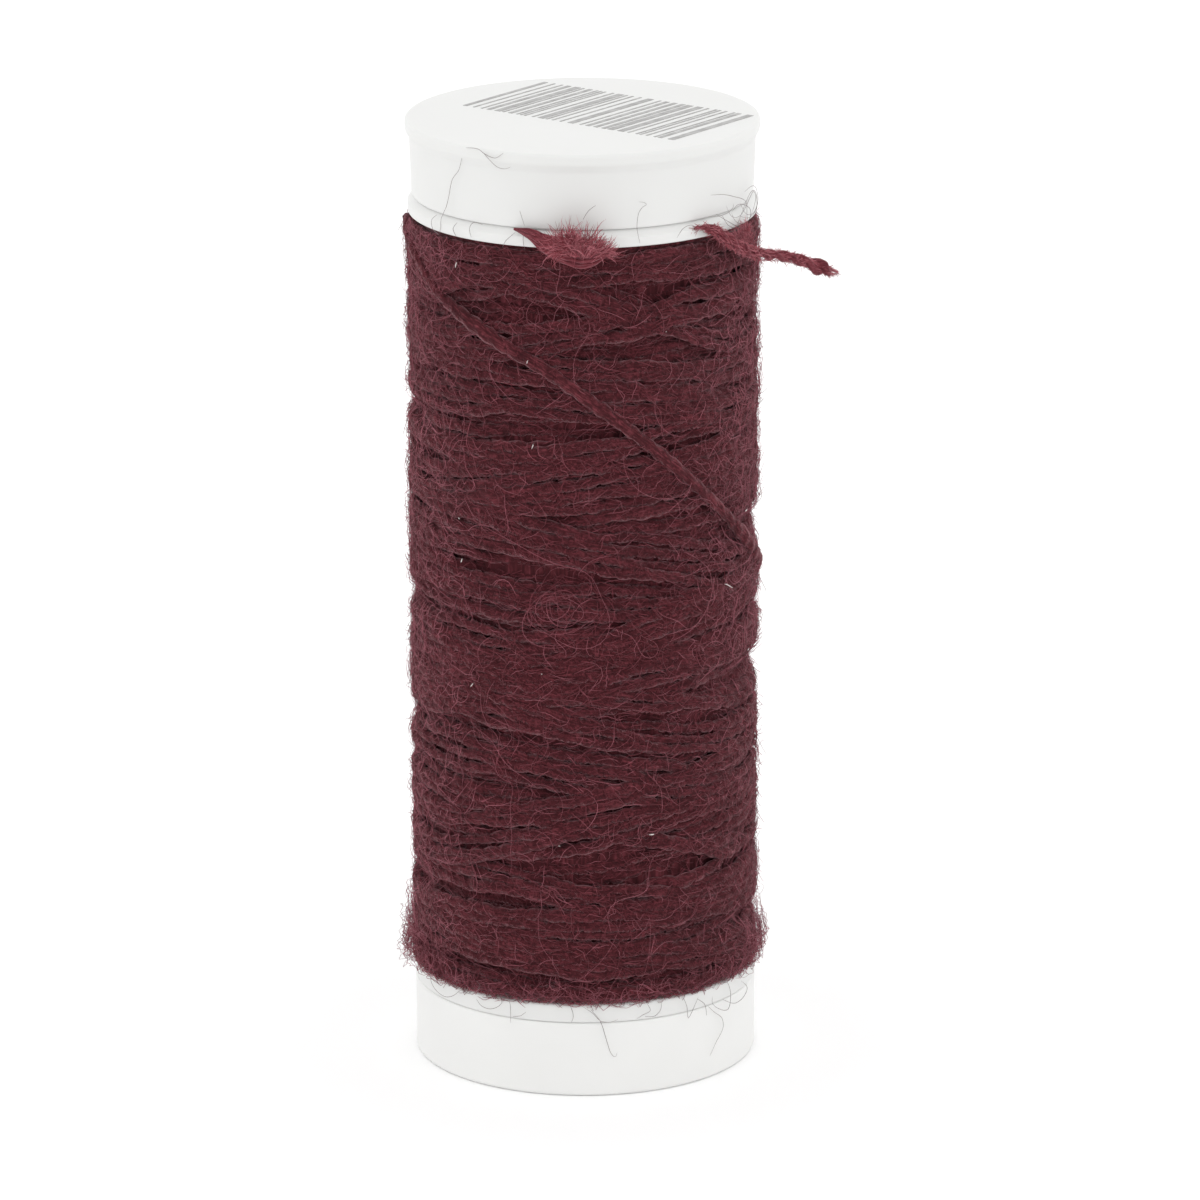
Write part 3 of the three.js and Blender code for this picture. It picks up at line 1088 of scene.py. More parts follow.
@dataclass
class Winding:
    """The yarn on the package: a full layer, groups of turns that cross over it, and the slanting last wrap.

    Attributes:
        foot: Height of the winding's lower end.
        top: Height of its upper end.
        barrel: Radius of the barrel that it is wound on.
        gap: Room to the barrel.
        spacing: Height between neighbouring turns.
        sink: How far a strand presses into those under it.
        stiff: Samples over which a strand bridges a hollow.
        firm: Radius from which crossing strands are pressed together.
        pile: How far they can pile up over that.
        step_aside_share: Share of a turn in which it moves on to the next group.
        mean_radius: Radius at which lengths along the yarn are reckoned.
        level_ends: Height over which the turns' tilt comes in at either end.
        layer_wander: How far a layer's turns wander up and down.
        layer_wave: Longest wave of that.
        group_wander: How far those of a group do.
        uneven: How much the yarn's thickness varies.
        hidden: How far below later yarn a strand has to lie to be left out.
        overlap: Samples that a stretch runs on at either end.
        shortest: Samples in the shortest stretch that is made.
        ply: Section of the yarn.
        layers: The full layers, wound first.
        falling_groups: Groups of turns over them, from the top down.
        rising_groups: Groups of turns that cross them, from the foot up.
        last_wrap: Route of the last wrap.
        last_size: Thickness of the last wrap as a share of the others'.
        per_piece: Most triangles in a piece.
        inner_rise: How far the inner turns fill the winding over its bed.
        surface: The height field of the yarn so far.
        runs: Turns, heights, distances and thickness of each run.
    """

    foot: float
    top: float
    barrel: float
    gap: float
    spacing: float = 0.88
    sink: float = 0.3
    stiff: int = 2
    firm: float = 10.42
    pile: float = 0.25
    step_aside_share: float = 0.3
    mean_radius: float = 10.3
    level_ends: float = 2.5
    layer_wander: float = 0.12
    layer_wave: float = 15.0
    group_wander: float = 0.2
    uneven: float = 0.15
    hidden: float = 0.07
    overlap: int = 3
    shortest: int = 6
    ply: Ply = Ply()
    layers: tuple[Layer, ...] = (
        Layer(True, (0.0, 0.9), (0.0, 0.6), 22),
        Layer(False, (0.7, -0.9), (0.0, 0.6), 23),
    )
    falling_groups: tuple[Group, ...] = (
        Group((54.4, 54.4, 54.4, 54.4, 54.4), 2), Group((53.3, 53.3, 52.2, 50, 48.3), 3),
        Group((44.7, 45.1, 45.2, 44.8, 43.9), 3), Group((41.5, 41.4, 41.3, 40.9, 40.4), 2),
        Group((37, 36.9, 36, 34.9, 33.6), 4), Group((33, 32.9, 32.5, 32.1, 31.5), 3),
        Group((29.5, 29.5, 29.3, 28.9, 28.4), 3), Group((27.8, 27.4, 26.6, 25.6, 24.7), 2),
        Group((25.7, 25.2, 24.2, 23.3, 22.4), 3), Group((22.1, 22.1, 21.4, 20.2, 19.1), 4),
        Group((19, 18.9, 18, 16.4, 14.9), 2), Group((13.8, 14, 13.3, 12.5, 11.6), 3),
        Group((9.2, 9.3, 9, 8.8, 8.4), 3), Group((6.9, 6.9, 6.9, 6.8, 6.7), 2),
    )
    rising_groups: tuple[Group, ...] = (
        Group((11.3, 11.6, 11.4, 11.4, 10.8), 2), Group((14.6, 15.9, 17.2, 18.3, 18.4), 3),
        Group((16.9, 18, 19.3, 20.4, 20.8), 2), Group((24.5, 25.8, 27, 28, 28), 3),
        Group((26.6, 27.8, 29.2, 31, 31.3), 3), Group((37.6, 38.3, 39.3, 39.7, 39.2), 2),
        Group((38.9, 40.2, 41.2, 41.9, 42.1), 4), Group((47.1, 47.2, 47, 46.4, 45.6), 3),
        Group((48, 48.7, 49.7, 50.6, 50.5), 3), Group((51.2, 52.9, 53.6, 53.5, 53.2), 3),
    )
    last_wrap: tuple[WrapPoint, ...] = (
        WrapPoint(-92, 54.4, -0.1), WrapPoint(-69, 52.8, -0.3), WrapPoint(-54.5, 51.2, -0.3),
        WrapPoint(-43.9, 50.3, -0.15), WrapPoint(-34.8, 49.5, -0.05), WrapPoint(-25, 48.6),
        WrapPoint(-17, 47.9), WrapPoint(6, 44.9), WrapPoint(22, 42.4), WrapPoint(42, 39),
        WrapPoint(64, 35.4), WrapPoint(82, 32.9, -0.1), WrapPoint(104, 31), WrapPoint(130, 29.6, 0.1),
        WrapPoint(156, 28.6, 0.5),
    )
    last_size: float = 1.12
    per_piece: int = 195000
    inner_rise: float = 0.6
    surface: HeightField = field(init=False)
    runs: list[tuple[Array, Array, Array, float]] = field(init=False, default_factory=list)

    def __post_init__(self) -> None:
        """Makes the empty height field."""
        self.surface = HeightField(self.foot, self.top)

    @property
    def lowest(self) -> float:
        """Height of the lowest turn's middle."""
        return self.foot + self.ply.half_wide

    @property
    def highest(self) -> float:
        """Height of the highest turn's middle."""
        return self.top - self.ply.half_wide

    def columns_of(self, turn: Array) -> Array:
        """Column of the height field at each turn."""
        return np.rint(turn / FULL_TURN * self.surface.columns).astype(int) % self.surface.columns

    def bridged(self, support: Array) -> Array:
        """Where a taut strand lies on its support: over the crests and across the hollows.

        Args:
            support: Distance of the support from the axis at each sample.

        Returns:
            The strand's distance at each sample.
        """
        padded = np.pad(support, self.stiff, mode="edge")
        crests = np.lib.stride_tricks.sliding_window_view(padded, 2 * self.stiff + 1).max(axis=1)
        kernel = np.hanning(2 * self.stiff + 3)[1:-1]
        padded = np.pad(crests, self.stiff, mode="edge")
        return np.convolve(padded, kernel / kernel.sum(), mode="valid")

    def lay(self, turn: Array, height: Array, sink: Array | float, firm: float, size: float = 1.0) -> None:
        """Lays a run of yarn on what is there, turn by turn.

        Args:
            turn: Turn of each sample, one column apart.
            height: Height of each sample.
            sink: How far it presses into what is under it.
            firm: Radius from which it is pressed down on the others.
            size: Its thickness as a share of the usual.
        """
        columns = self.surface.columns
        column = self.columns_of(turn)
        reach = self.surface.reach
        rows, rise = self.surface.footprint(height, self.ply.half_wide, self.ply.half_thick)
        support, out = np.zeros(len(turn)), np.zeros(len(turn))
        lean = np.gradient(height) / self.spacing_along()
        sink = np.broadcast_to(sink, len(turn))
        pad = 3 * self.stiff
        for start in range(0, len(turn), columns):
            stop, ahead = min(start + columns, len(turn)), min(start + columns + pad, len(turn))
            new = slice(start, ahead)
            support[new] = (reach[rows[new], column[new, None]] + rise[new]).max(axis=1)
            behind = max(start - pad, 0)
            now = slice(start, stop)
            resting = self.bridged(support[behind:ahead])[start - behind:stop - behind] - sink[now]
            above = np.maximum(resting - firm, 0.0)
            out[now] = np.minimum(resting, firm) + self.pile * np.tanh(above / self.pile)
            self.surface.press(rows[now], column[now, None], out[now, None] + rise[now], lean[now, None])
        self.runs.append((turn, height, out, size))

    def wind_layer(self, layer: Layer) -> None:
        """Lays one full layer, which starts at the back.

        Args:
            layer: The layer.
        """
        low, high = self.lowest, self.highest
        columns = self.surface.columns
        count = int((high - low) / self.spacing * columns)
        sample = np.arange(count)
        turn = (columns // 2 + sample) * FULL_TURN / columns
        middle = low + (high - low) * sample / count
        if not layer.rising:
            middle = low + high - middle
        room = smoothstep(np.minimum(middle - low, high - middle) / self.level_ends)
        wander = Drift(layer.seed, self.layer_wave)(sample * self.spacing_along())
        height = middle + room * layer.tilt(middle, turn) + self.layer_wander * wander
        self.lay(turn, np.clip(height, low, high), self.sink, self.firm)

    def spacing_along(self) -> float:
        """Length of yarn between two samples."""
        return FULL_TURN * self.mean_radius / self.surface.columns

    def lay_groups(self, groups: tuple[Group, ...], rising: bool, wander: Drift) -> None:
        """Lays groups of turns as one yarn that steps on to the next group at the back.

        Args:
            groups: The groups in the order in which they are wound.
            rising: True if each is wound from its lower edge up.
            wander: Unevenness along the yarn.
        """
        columns = self.surface.columns
        step = int(self.step_aside_share * columns)
        turns, heights = [], []
        start = columns // 2
        for group in groups:
            count = group.turns * columns - step
            turn = (start + np.arange(count)) * FULL_TURN / columns
            spread = (group.turns - 1) * self.spacing / 2 * (1 if rising else -1)
            if heights:
                first = group.course(turn[:1]) - spread
                share = smoothstep(np.linspace(0, 1, step + 2)[1:-1])
                aside = (start - step + np.arange(step)) * FULL_TURN / columns
                turns.append(aside)
                heights.append(heights[-1][-1] + (first - heights[-1][-1]) * share)
            turns.append(turn)
            heights.append(group.course(turn) + np.linspace(-spread, spread, count))
            start += group.turns * columns
        turn, height = np.concatenate(turns), np.concatenate(heights)
        height = height + self.group_wander * wander(np.arange(len(height)) * self.spacing_along())
        self.lay(turn, np.clip(height, self.lowest, self.highest), self.sink, self.firm)

    def lay_last_wrap(self) -> None:
        """Lays the last wrap, slantwise over all."""
        step = FULL_TURN / self.surface.columns
        given = np.radians([point.turn_deg for point in self.last_wrap])
        turn = np.arange(np.ceil(given[0] / step), np.floor(given[-1] / step)) * step
        heights = np.array([point.height for point in self.last_wrap])
        slopes = np.gradient(heights, given)
        place = np.clip(np.searchsorted(given, turn, side="right") - 1, 0, len(given) - 2)
        width = given[place + 1] - given[place]
        share = (turn - given[place]) / width
        height = (
            (1 + 2 * share) * (1 - share) ** 2 * heights[place]
            + share * (1 - share) ** 2 * width * slopes[place]
            + share ** 2 * (3 - 2 * share) * heights[place + 1]
            + share ** 2 * (share - 1) * width * slopes[place + 1]
        )
        sink = np.interp(turn, given, [point.sunk for point in self.last_wrap])
        self.lay(turn, height, sink, self.firm + self.pile, self.last_size)

    def wind(self) -> None:
        """Winds the whole package."""
        for layer in self.layers:
            self.wind_layer(layer)
        self.lay_groups(self.falling_groups, False, Drift(31, 17.0))
        self.lay_groups(self.rising_groups, True, Drift(32, 19.0))
        self.surface.before_wrap = self.surface.reach.copy()
        self.lay_last_wrap()

    def shown(self, turn: Array, height: Array, out: Array) -> list[slice]:
        """Stretches of a run that no later yarn hides.

        Args:
            turn: Turn of each of the run's samples.
            height: Height of each.
            out: Distance of each from the axis.

        Returns:
            The samples of each stretch.
        """
        rows, rise = self.surface.footprint(height, self.ply.half_wide, self.ply.half_thick)
        over = out[:, None] + rise - self.surface.reach[rows, self.columns_of(turn)[:, None]]
        bare = np.pad(over.max(axis=1) > -self.hidden, self.overlap)
        wider = np.convolve(bare, np.ones(2 * self.overlap + 1), mode="valid") > 0
        edges = np.flatnonzero(np.diff(np.concatenate([[0], wider.astype(int), [0]])))
        spans = zip(edges[::2], edges[1::2])
        return [slice(start, stop) for start, stop in spans if stop - start > self.shortest]

    def build(self, wool: Material) -> None:
        """Makes the strands that show, and the dark bed under them, in place of the plain solid.

        Args:
            wool: The yarn's material.
        """
        builders = [MeshBuilder("lie", 3)]
        thickness = Drift(41, 23.0)
        along_before = 0.0
        for turn, height, out, share in self.runs:
            points = on_spool(turn, out, height)
            normals = on_spool(turn, 1.0, 0.0)
            along = along_before + length_along(points)
            along_before = along[-1] + 5.0
            size = share * (1.0 + self.uneven * thickness(along))
            for part in self.shown(turn, height, out):
                more = 2 * self.ply.sides * (part.stop - part.start)
                if builders[-1].triangle_count() + more > self.per_piece:
                    builders.append(MeshBuilder("lie", 3))
                self.ply.tube(builders[-1], points[part], normals[part], size[part], along[part])
        for number, builder in enumerate(builders, 1):
            builder.piece(f"wound_turns_{number}", wool, Slot.YARN)
        self.build_bed(wool)

    def build_bed(self, wool: Material) -> None:
        """Makes the closed sleeve of inner turns, which shows only as a dark ground in the gaps.

        Args:
            wool: The yarn's material.
        """
        inside, radius, top = self.barrel + self.gap, self.surface.bed + self.inner_rise, self.top + 0.2
        bed = TurnedPart((
            Corner(inside, self.foot),
            Corner(radius - 0.7, self.foot, 0.1),
            Corner(radius, self.foot + 1.8, 0.3),
            Corner(radius, self.top - 0.5, 0.1),
            Corner(radius + 0.55, top, 0.1),
            Corner(inside, top),
        ), steps=96).build()
        bed.mark, bed.width = "lie", 3
        bed.marks = [bed.corners[0] * 0.4]
        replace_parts(bed.piece("inner_turns", wool, Slot.YARN), "yarn_winding")


@dataclass(frozen=True)
class Patch:
    """Part of the winding's outside.

    Attributes:
        from_deg: Turn at which it starts.
        to_deg: Turn at which it ends.
        low: Its lower edge, above the winding's foot.
        high: Its upper edge above the winding's foot, or None for all the way up.
        gather: How much the fibres of a part of the round gather in its middle.
    """

    from_deg: float = -180.0
    to_deg: float = 180.0
    low: float = 0.1
    high: float | None = None
    gather: float = 1.8

    def turns(self, count: int, rng: Rng) -> Array:
        """Turns of fibres in it: even all round, or thinning out towards both sides of a part of the round.

        Args:
            count: Number of fibres.
            rng: Random numbers.

        Returns:
            The turns.
        """
        whole = self.to_deg - self.from_deg >= 360
        share = rng.random(count) if whole else rng.beta(self.gather, self.gather, count)
        return np.radians(self.from_deg + (self.to_deg - self.from_deg) * share)


@dataclass(frozen=True)
class FibreStyle:
    """A kind of fibre in the fuzz.

    Attributes:
        name: Name of the piece that they make.
        count: Number of fibres.
        steps: Points along each.
        length: Shortest and longest.
        lift: Least and most height off the yarn.
        curl: Most bend, in radians for a millimetre.
        radius: Radius at the thickest place.
        end: How they end.
        scatter: Spread of their headings about the lie of the turns, in radians.
        shade: Least and most shade.
        patch: Where they grow.
        ground: What they stand on.
    """

    name: str
    count: int
    steps: int
    length: Span
    lift: Span
    curl: float
    radius: float
    end: FibreEnd
    scatter: float
    shade: Span = (0.05, 0.75)
    patch: Patch = Patch()
    ground: Ground = Ground.UNDER_LAST_WRAP


def fibres(made: MeshBuilder, paths: Array, radius: Array, shade: Array) -> None:
    """Adds fibres as three-sided tubes that run to a point at both ends.

    Args:
        made: Mesh that they are added to.
        paths: Points of each fibre, by fibre and then along it.
        radius: Radius of each at its thickest.
        shade: Shade of each.
    """
    count, steps = paths.shape[:2]
    tangent = unit(np.gradient(paths, axis=1))
    frames = [unit(np.cross(tangent[:, 0], ASKEW))]
    for step in range(1, steps):
        moved = frames[-1] - tangent[:, step] * np.sum(frames[-1] * tangent[:, step], axis=1, keepdims=True)
        frames.append(unit(moved))
    first = np.stack(frames, axis=1)
    second = np.cross(tangent, first)
    taper = np.sin(np.pi * np.linspace(0.08, 0.94, steps)) ** 0.5
    inner = slice(1, steps - 1)
    wide = (radius[:, None] * taper)[:, inner, None, None]
    angle = np.arange(3) * FULL_TURN / 3
    ring = np.cos(angle)[:, None] * first[:, inner, None] + np.sin(angle)[:, None] * second[:, inner, None]
    rings = paths[:, inner, None] + wide * ring
    corners = np.concatenate([rings.reshape(count, -1, 3), paths[:, :1], paths[:, -1:]], axis=1)
    each = corners.shape[1]
    quads, tips = ring_faces(steps - 2, 3)
    start = (np.arange(count) * each)[:, None, None]
    made.add(corners.reshape(-1, 3), quads + start, tips + start, np.repeat(shade, each)[:, None])


def grown(roots: Array, headings: Array, length: Array, bend: float, steps: int, rng: Rng) -> Array:
    """Paths of fibres that set out from their roots and bend on the way.

    Args:
        roots: Where each starts.
        headings: Direction in which each sets out.
        length: Length of each.
        bend: Spread of their bends, in radians for a millimetre.
        steps: Points along each.
        rng: Random numbers for the bends.

    Returns:
        The points, by fibre and then along it.
    """
    count = len(roots)
    stride = (length / (steps - 1))[:, None]
    turning = rng.normal(0, bend, (count, 3))
    way = unit(headings)
    points = [roots]
    for _ in range(steps - 1):
        points.append(points[-1] + stride * way)
        way = unit(way + stride * (np.cross(turning, way) + rng.normal(0, bend / 2, (count, 3))))
    return np.stack(points, axis=1)


@dataclass
class Fuzz:
    """Loose fibres all over the winding: nap, wandering fibres, long loops, stray ends and tangled places.

    Attributes:
        winding: The winding that they grow from.
        cap_radius: Radius of the cap and flange that they must clear.
        slack: How far they can stand out past the winding's ends.
        mean_radius: Radius at which their lengths are reckoned.
        spread: Least and most thickness, as a share of a style's.
        sway: Spread of the waves in their headings, in radians.
        waves: Fewest and most such waves on a fibre.
        tucked_root: Depth of the ends of a tucked fibre in the yarn.
        free_root: Depth of the root of a free one.
        clear: Room to the cap and flange.
        seed: Seed of all of them.
        styles: The kinds of fibre.
    """

    winding: Winding
    cap_radius: float
    slack: float = 0.15
    mean_radius: float = 10.5
    spread: Span = (0.8, 1.25)
    sway: float = 0.5
    waves: Span = (0.7, 1.6)
    tucked_root: float = 0.1
    free_root: float = 0.08
    clear: float = 0.04
    seed: int = 11
    styles: tuple[FibreStyle, ...] = (
        FibreStyle("short_nap", 8900, 4, (0.6, 1.7), (0.02, 0.24), 0.3, 0.023, FibreEnd.FREE, 0.4, (0, 0.6),
                   ground=Ground.EACH_TURN),
        FibreStyle("wandering_fibres", 2700, 8, (1.4, 3.6), (0.05, 0.35), 0.6, 0.016, FibreEnd.TUCKED, 0.8,
                   (0.1, 0.8)),
        FibreStyle("long_loops", 110, 24, (4, 9), (0.15, 0.6), 0.35, 0.013, FibreEnd.TUCKED, 1.2, (0.5, 1)),
        FibreStyle("stray_ends", 2600, 6, (0.8, 2.2), (0.1, 0.6), 0.7, 0.014, FibreEnd.FREE, 1.2, (0.3, 0.9)),
        # Tangles at both sides, paler than the rest: partly painted light for the lighter sides of the
        # winding.
        FibreStyle("tangle_left", 560, 9, (1.4, 3.6), (0.1, 0.55), 1, 0.015, FibreEnd.TUCKED, 1.2, (0.65, 1),
                   Patch(-125, -35, 0.5)),
        FibreStyle("tangle_right", 600, 9, (1.4, 3.6), (0.1, 0.55), 1, 0.015, FibreEnd.TUCKED, 1.2, (0.65, 1),
                   Patch(35, 125, 20)),
        FibreStyle("tangle_shoulder", 90, 9, (1.6, 4), (0.1, 0.5), 1, 0.015, FibreEnd.TUCKED, 1.2, (0.4, 1),
                   Patch(-85, -45, 43)),
        # Nap at the sides in the palest shades: painted light for the lighter sides of the winding.
        FibreStyle("edge_nap_left", 1500, 5, (0.4, 1.1), (0.1, 0.45), 1.6, 0.017, FibreEnd.FREE, 1.5,
                   (0.75, 1), Patch(-140, -40)),
        FibreStyle("edge_nap_right", 1200, 5, (0.4, 1.1), (0.1, 0.45), 1.6, 0.017, FibreEnd.FREE, 1.5,
                   (0.75, 1), Patch(40, 140)),
        FibreStyle("foot_tuft_left", 260, 8, (1.5, 3.4), (0.5, 1.5), 1, 0.016, FibreEnd.TUCKED, 0.9, (0.4, 1),
                   Patch(-115, -55, -0.1, 2)),
        FibreStyle("foot_tuft_right", 200, 8, (1.5, 3.4), (0.4, 1.2), 1, 0.016, FibreEnd.TUCKED, 0.9,
                   (0.4, 1), Patch(55, 115, -0.1, 2)),
    )

    def build(self, fibre: Material) -> None:
        """Makes one piece of each kind.

        Args:
            fibre: The fibres' material.
        """
        for number, style in enumerate(self.styles):
            rng = np.random.default_rng(self.seed + number)
            made = MeshBuilder("shade")
            paths = self.paths(style, rng)
            radius = style.radius * rng.uniform(*self.spread, style.count)
            fibres(made, paths, radius, rng.uniform(*style.shade, style.count))
            made.piece(style.name, fibre, Slot.YARN)

    def paths(self, style: FibreStyle, rng: Rng) -> Array:
        """Points of all fibres of one kind.

        Args:
            style: The kind of fibre.
            rng: Its random numbers.

        Returns:
            The points, by fibre and then along it.
        """
        surface, patch = self.winding.surface, style.patch
        count, steps = style.count, style.steps
        turn = patch.turns(count, rng)
        top = surface.top - 0.1 if patch.high is None else surface.foot + patch.high
        height = rng.uniform(surface.foot + patch.low, top, count)
        share = np.linspace(0, 1, steps)
        length = rng.uniform(*style.length, count)[:, None]
        heading = rng.normal(0, style.scatter, count)
        heading += np.arctan(surface.sampled(surface.lean, turn, height)) + np.pi * rng.integers(0, 2, count)
        curl = rng.normal(0, style.curl, count)[:, None]
        sway = rng.normal(0, self.sway, (count, 1))
        waves = share * rng.uniform(*self.waves, (count, 1)) + rng.random((count, 1))
        way = heading[:, None] + curl * length * share + sway * np.sin(FULL_TURN * waves)
        stride = length / (steps - 1)
        sideways = np.cumsum(np.cos(way) * stride, axis=1) - np.cos(way[:, :1]) * stride
        upward = np.cumsum(np.sin(way) * stride, axis=1) - np.sin(way[:, :1]) * stride
        turns = turn[:, None] + sideways / self.mean_radius
        heights = self.turned_back(height[:, None] + upward)
        peak = rng.uniform(*style.lift, (count, 1)) * rng.uniform(0.3, 1.0, (count, 1))
        if style.end is FibreEnd.TUCKED:
            arch = np.sin(np.pi * share) ** 0.8 + 0.25 * np.sin(3 * np.pi * share)
            lift = peak * arch - self.tucked_root
        else:
            lift = peak * 1.5 * share ** 1.2 - self.free_root
        out = surface.sampled(surface.smoothed(style.ground), turns, heights) + lift
        past_end = np.maximum(surface.foot - heights, heights - surface.top)
        out = np.maximum(out, (self.cap_radius + self.clear) * smoothstep((past_end + 0.08) / 0.3))
        return on_spool(turns, out, heights)

    def turned_back(self, heights: Array) -> Array:
        """The heights, with what runs too far past an end of the winding turned back."""
        floor, ceiling = self.winding.foot - self.slack, self.winding.top + self.slack
        return ceiling - np.abs(ceiling - (np.abs(heights - floor) + floor))


@dataclass(frozen=True)
class BeltFibres:
    """Fibres of the belt: their number, how far in and how high they start, their length and their bend."""

    count: int
    inside: float
    high: float
    length: Span
    bend: float


@dataclass(frozen=True)
class FootBelt:
    """Matted belt of curly fibres that fills the room between the last turns and the flange at the foot.

    Attributes:
        foot: Height of the winding's lower end.
        radius: Radius of the flange.
        kinds: The kinds of fibre, from the inside out.
        thick: Radius of a fibre.
        deepest: How far inside the flange's edge a fibre can lie.
        proud: How far it can stand out past that edge.
        levels: Depths to which fibres hang under the winding's foot, and the share of each.
        seed: Seed of the fibres.
    """

    foot: float
    radius: float
    kinds: tuple[BeltFibres, ...] = (
        BeltFibres(1700, 0.9, 0.5, (1.2, 3), 0.5),
        BeltFibres(700, 0.4, 0.9, (1, 2.6), 1),
    )
    thick: float = 0.018
    deepest: float = 1.2
    proud: float = 0.12
    levels: tuple[Span, ...] = ((0.12, 0.62), (0.28, 0.28), (0.5, 0.1))
    seed: int = 61

    def build(self, fibre: Material) -> None:
        """Makes the belt.

        Args:
            fibre: The fibres' material.
        """
        rng = np.random.default_rng(self.seed)
        belt = MeshBuilder("shade")
        depths, weights = zip(*self.levels)
        for kind in self.kinds:
            count = kind.count
            turn = rng.uniform(0, FULL_TURN, count)
            start = self.radius - rng.uniform(0.0, kind.inside, count)
            roots = on_spool(turn, start, self.foot + rng.uniform(-0.1, kind.high, count))
            round_it = on_spool(turn + np.pi / 2, 1.0, 0.0) * rng.choice([-1.0, 1.0], (count, 1))
            headings = round_it + rng.normal(0, 0.35, (count, 3))
            paths = grown(roots, headings, rng.uniform(*kind.length, count), kind.bend, 7, rng)
            out = np.hypot(paths[..., 0], paths[..., 1])
            hanging = paths[..., 2] < self.foot - depths[0]
            inner = np.where(hanging, self.radius, self.radius - self.deepest)
            kept = np.clip(out, inner, self.radius + self.proud)
            paths[..., :2] *= (kept / out)[..., None]
            level = self.foot - rng.choice(depths, (count, 1), p=weights)
            paths[..., 2] = level + np.abs(paths[..., 2] - level)
            radius = self.thick * rng.uniform(0.8, 1.25, count)
            fibres(belt, paths, radius, rng.uniform(0.15, 0.85, count))
        belt.piece("foot_belt", fibre, Slot.YARN)


@dataclass(frozen=True)
class LoopNest:
    """Nest of loops that lies on the winding in front, a little below the middle.

    Attributes:
        turn_deg: Turn of its middle.
        height: Height of its middle.
        radius: Radius of its loops.
        loops: Number of its loops.
        steps: Points along each.
        scatter: How far the loops' middles lie apart.
        spool_radius: Radius at which its width is reckoned.
        thick: Radius of a fibre.
        seed: Seed of the loops.
    """

    turn_deg: float = -7.5
    height: float = 31.7
    radius: float = 2.4
    loops: int = 15
    steps: int = 34
    scatter: float = 0.6
    spool_radius: float = 10.8
    thick: float = 0.013
    seed: int = 71

    def build(self, surface: HeightField, fibre: Material) -> None:
        """Makes the nest.

        Args:
            surface: The winding's height field.
            fibre: The fibres' material.
        """
        rng = np.random.default_rng(self.seed)
        each = (self.loops, 1)
        share = np.linspace(0, 1, self.steps)
        angle = share * rng.uniform(3.5, 6.2, each) + rng.uniform(0, FULL_TURN, each)
        waver = 1 + 0.16 * np.sin(angle * rng.uniform(1.3, 2.6, each) + rng.uniform(0, FULL_TURN, each))
        radius = rng.uniform(0.4, 1.1, each) * waver * self.radius
        squash = rng.uniform(0.6, 1.1, each)
        aside = (radius * np.cos(angle) + rng.normal(0, self.scatter, each)) / self.spool_radius
        turn = np.radians(self.turn_deg) + aside
        height = self.height + radius * squash * np.sin(angle) + rng.normal(0, self.scatter, each)
        out = surface.sampled(surface.smoothed(Ground.UNDER_LAST_WRAP), turn, height)
        lift = 0.05 + 0.2 * rng.random(each) * np.sin(np.pi * share)
        nest = MeshBuilder("shade")
        thick = np.full(self.loops, self.thick)
        fibres(nest, on_spool(turn, out + lift, height), thick, rng.uniform(0.2, 0.85, self.loops))
        nest.piece("loop_nest", fibre, Slot.YARN)


@dataclass(frozen=True)
class Lint:
    """A few specks of pale lint.

    Attributes:
        places: Turn in degrees, height and length of each speck.
        lift: How far they lie off the yarn.
        thick: Radius of a speck.
        seed: Seed of their directions.
    """

    places: tuple[Triple, ...] = (
        (-44.5, 37.2, 0.3), (65.7, 36.6, 0.4), (52.3, 32.5, 0.7), (-45.1, 34.2, 0.3), (-13.7, 27.9, 0.3),
        (-39.6, 26.4, 0.3), (-7.9, 16.6, 0.4), (23.3, 17.2, 0.4), (-17.7, 47.8, 0.3), (-44, 53.6, 0.4),
        (27.5, 49.6, 0.5), (-16.5, 42.6, 0.4),
    )
    lift: float = 0.12
    thick: float = 0.04
    seed: int = 81

    def build(self, surface: HeightField, lint: Material) -> None:
        """Makes the specks.

        Args:
            surface: The winding's height field.
            lint: Their material.
        """
        rng = np.random.default_rng(self.seed)
        specks = MeshBuilder("shade")
        turn_deg, height, length = np.array(self.places).T
        turn, count = np.radians(turn_deg), len(turn_deg)
        out = surface.sampled(surface.smoothed(Ground.OVER_LAST_WRAP), turn, height) + self.lift
        paths = grown(on_spool(turn, out, height), rng.normal(0, 1, (count, 3)), length, 1.5, 6, rng)
        fibres(specks, paths, np.full(count, self.thick), rng.uniform(0.3, 1.0, count))
        specks.piece("pale_lint", lint, Slot.YARN)


@dataclass(frozen=True)
class EndPoint:
    """One point on a yarn end's route: turn, distance from the axis, height, share of the full thickness."""

    turn_deg: float
    out: float
    height: float
    size: float


@dataclass(frozen=True)
class Fluff:
    """Short fibres that stand off a strand.

    Attributes:
        count: Number of fibres.
        length: Shortest and longest.
        lean: How much they point along the strand rather than off it.
        radius: Radius of a fibre.
        shade: Least and most shade.
        shares: Weight of each part of the route, from its start to its tip.
    """

    count: int
    length: Span
    lean: float
    radius: float
    shade: Span
    shares: tuple[float, ...]


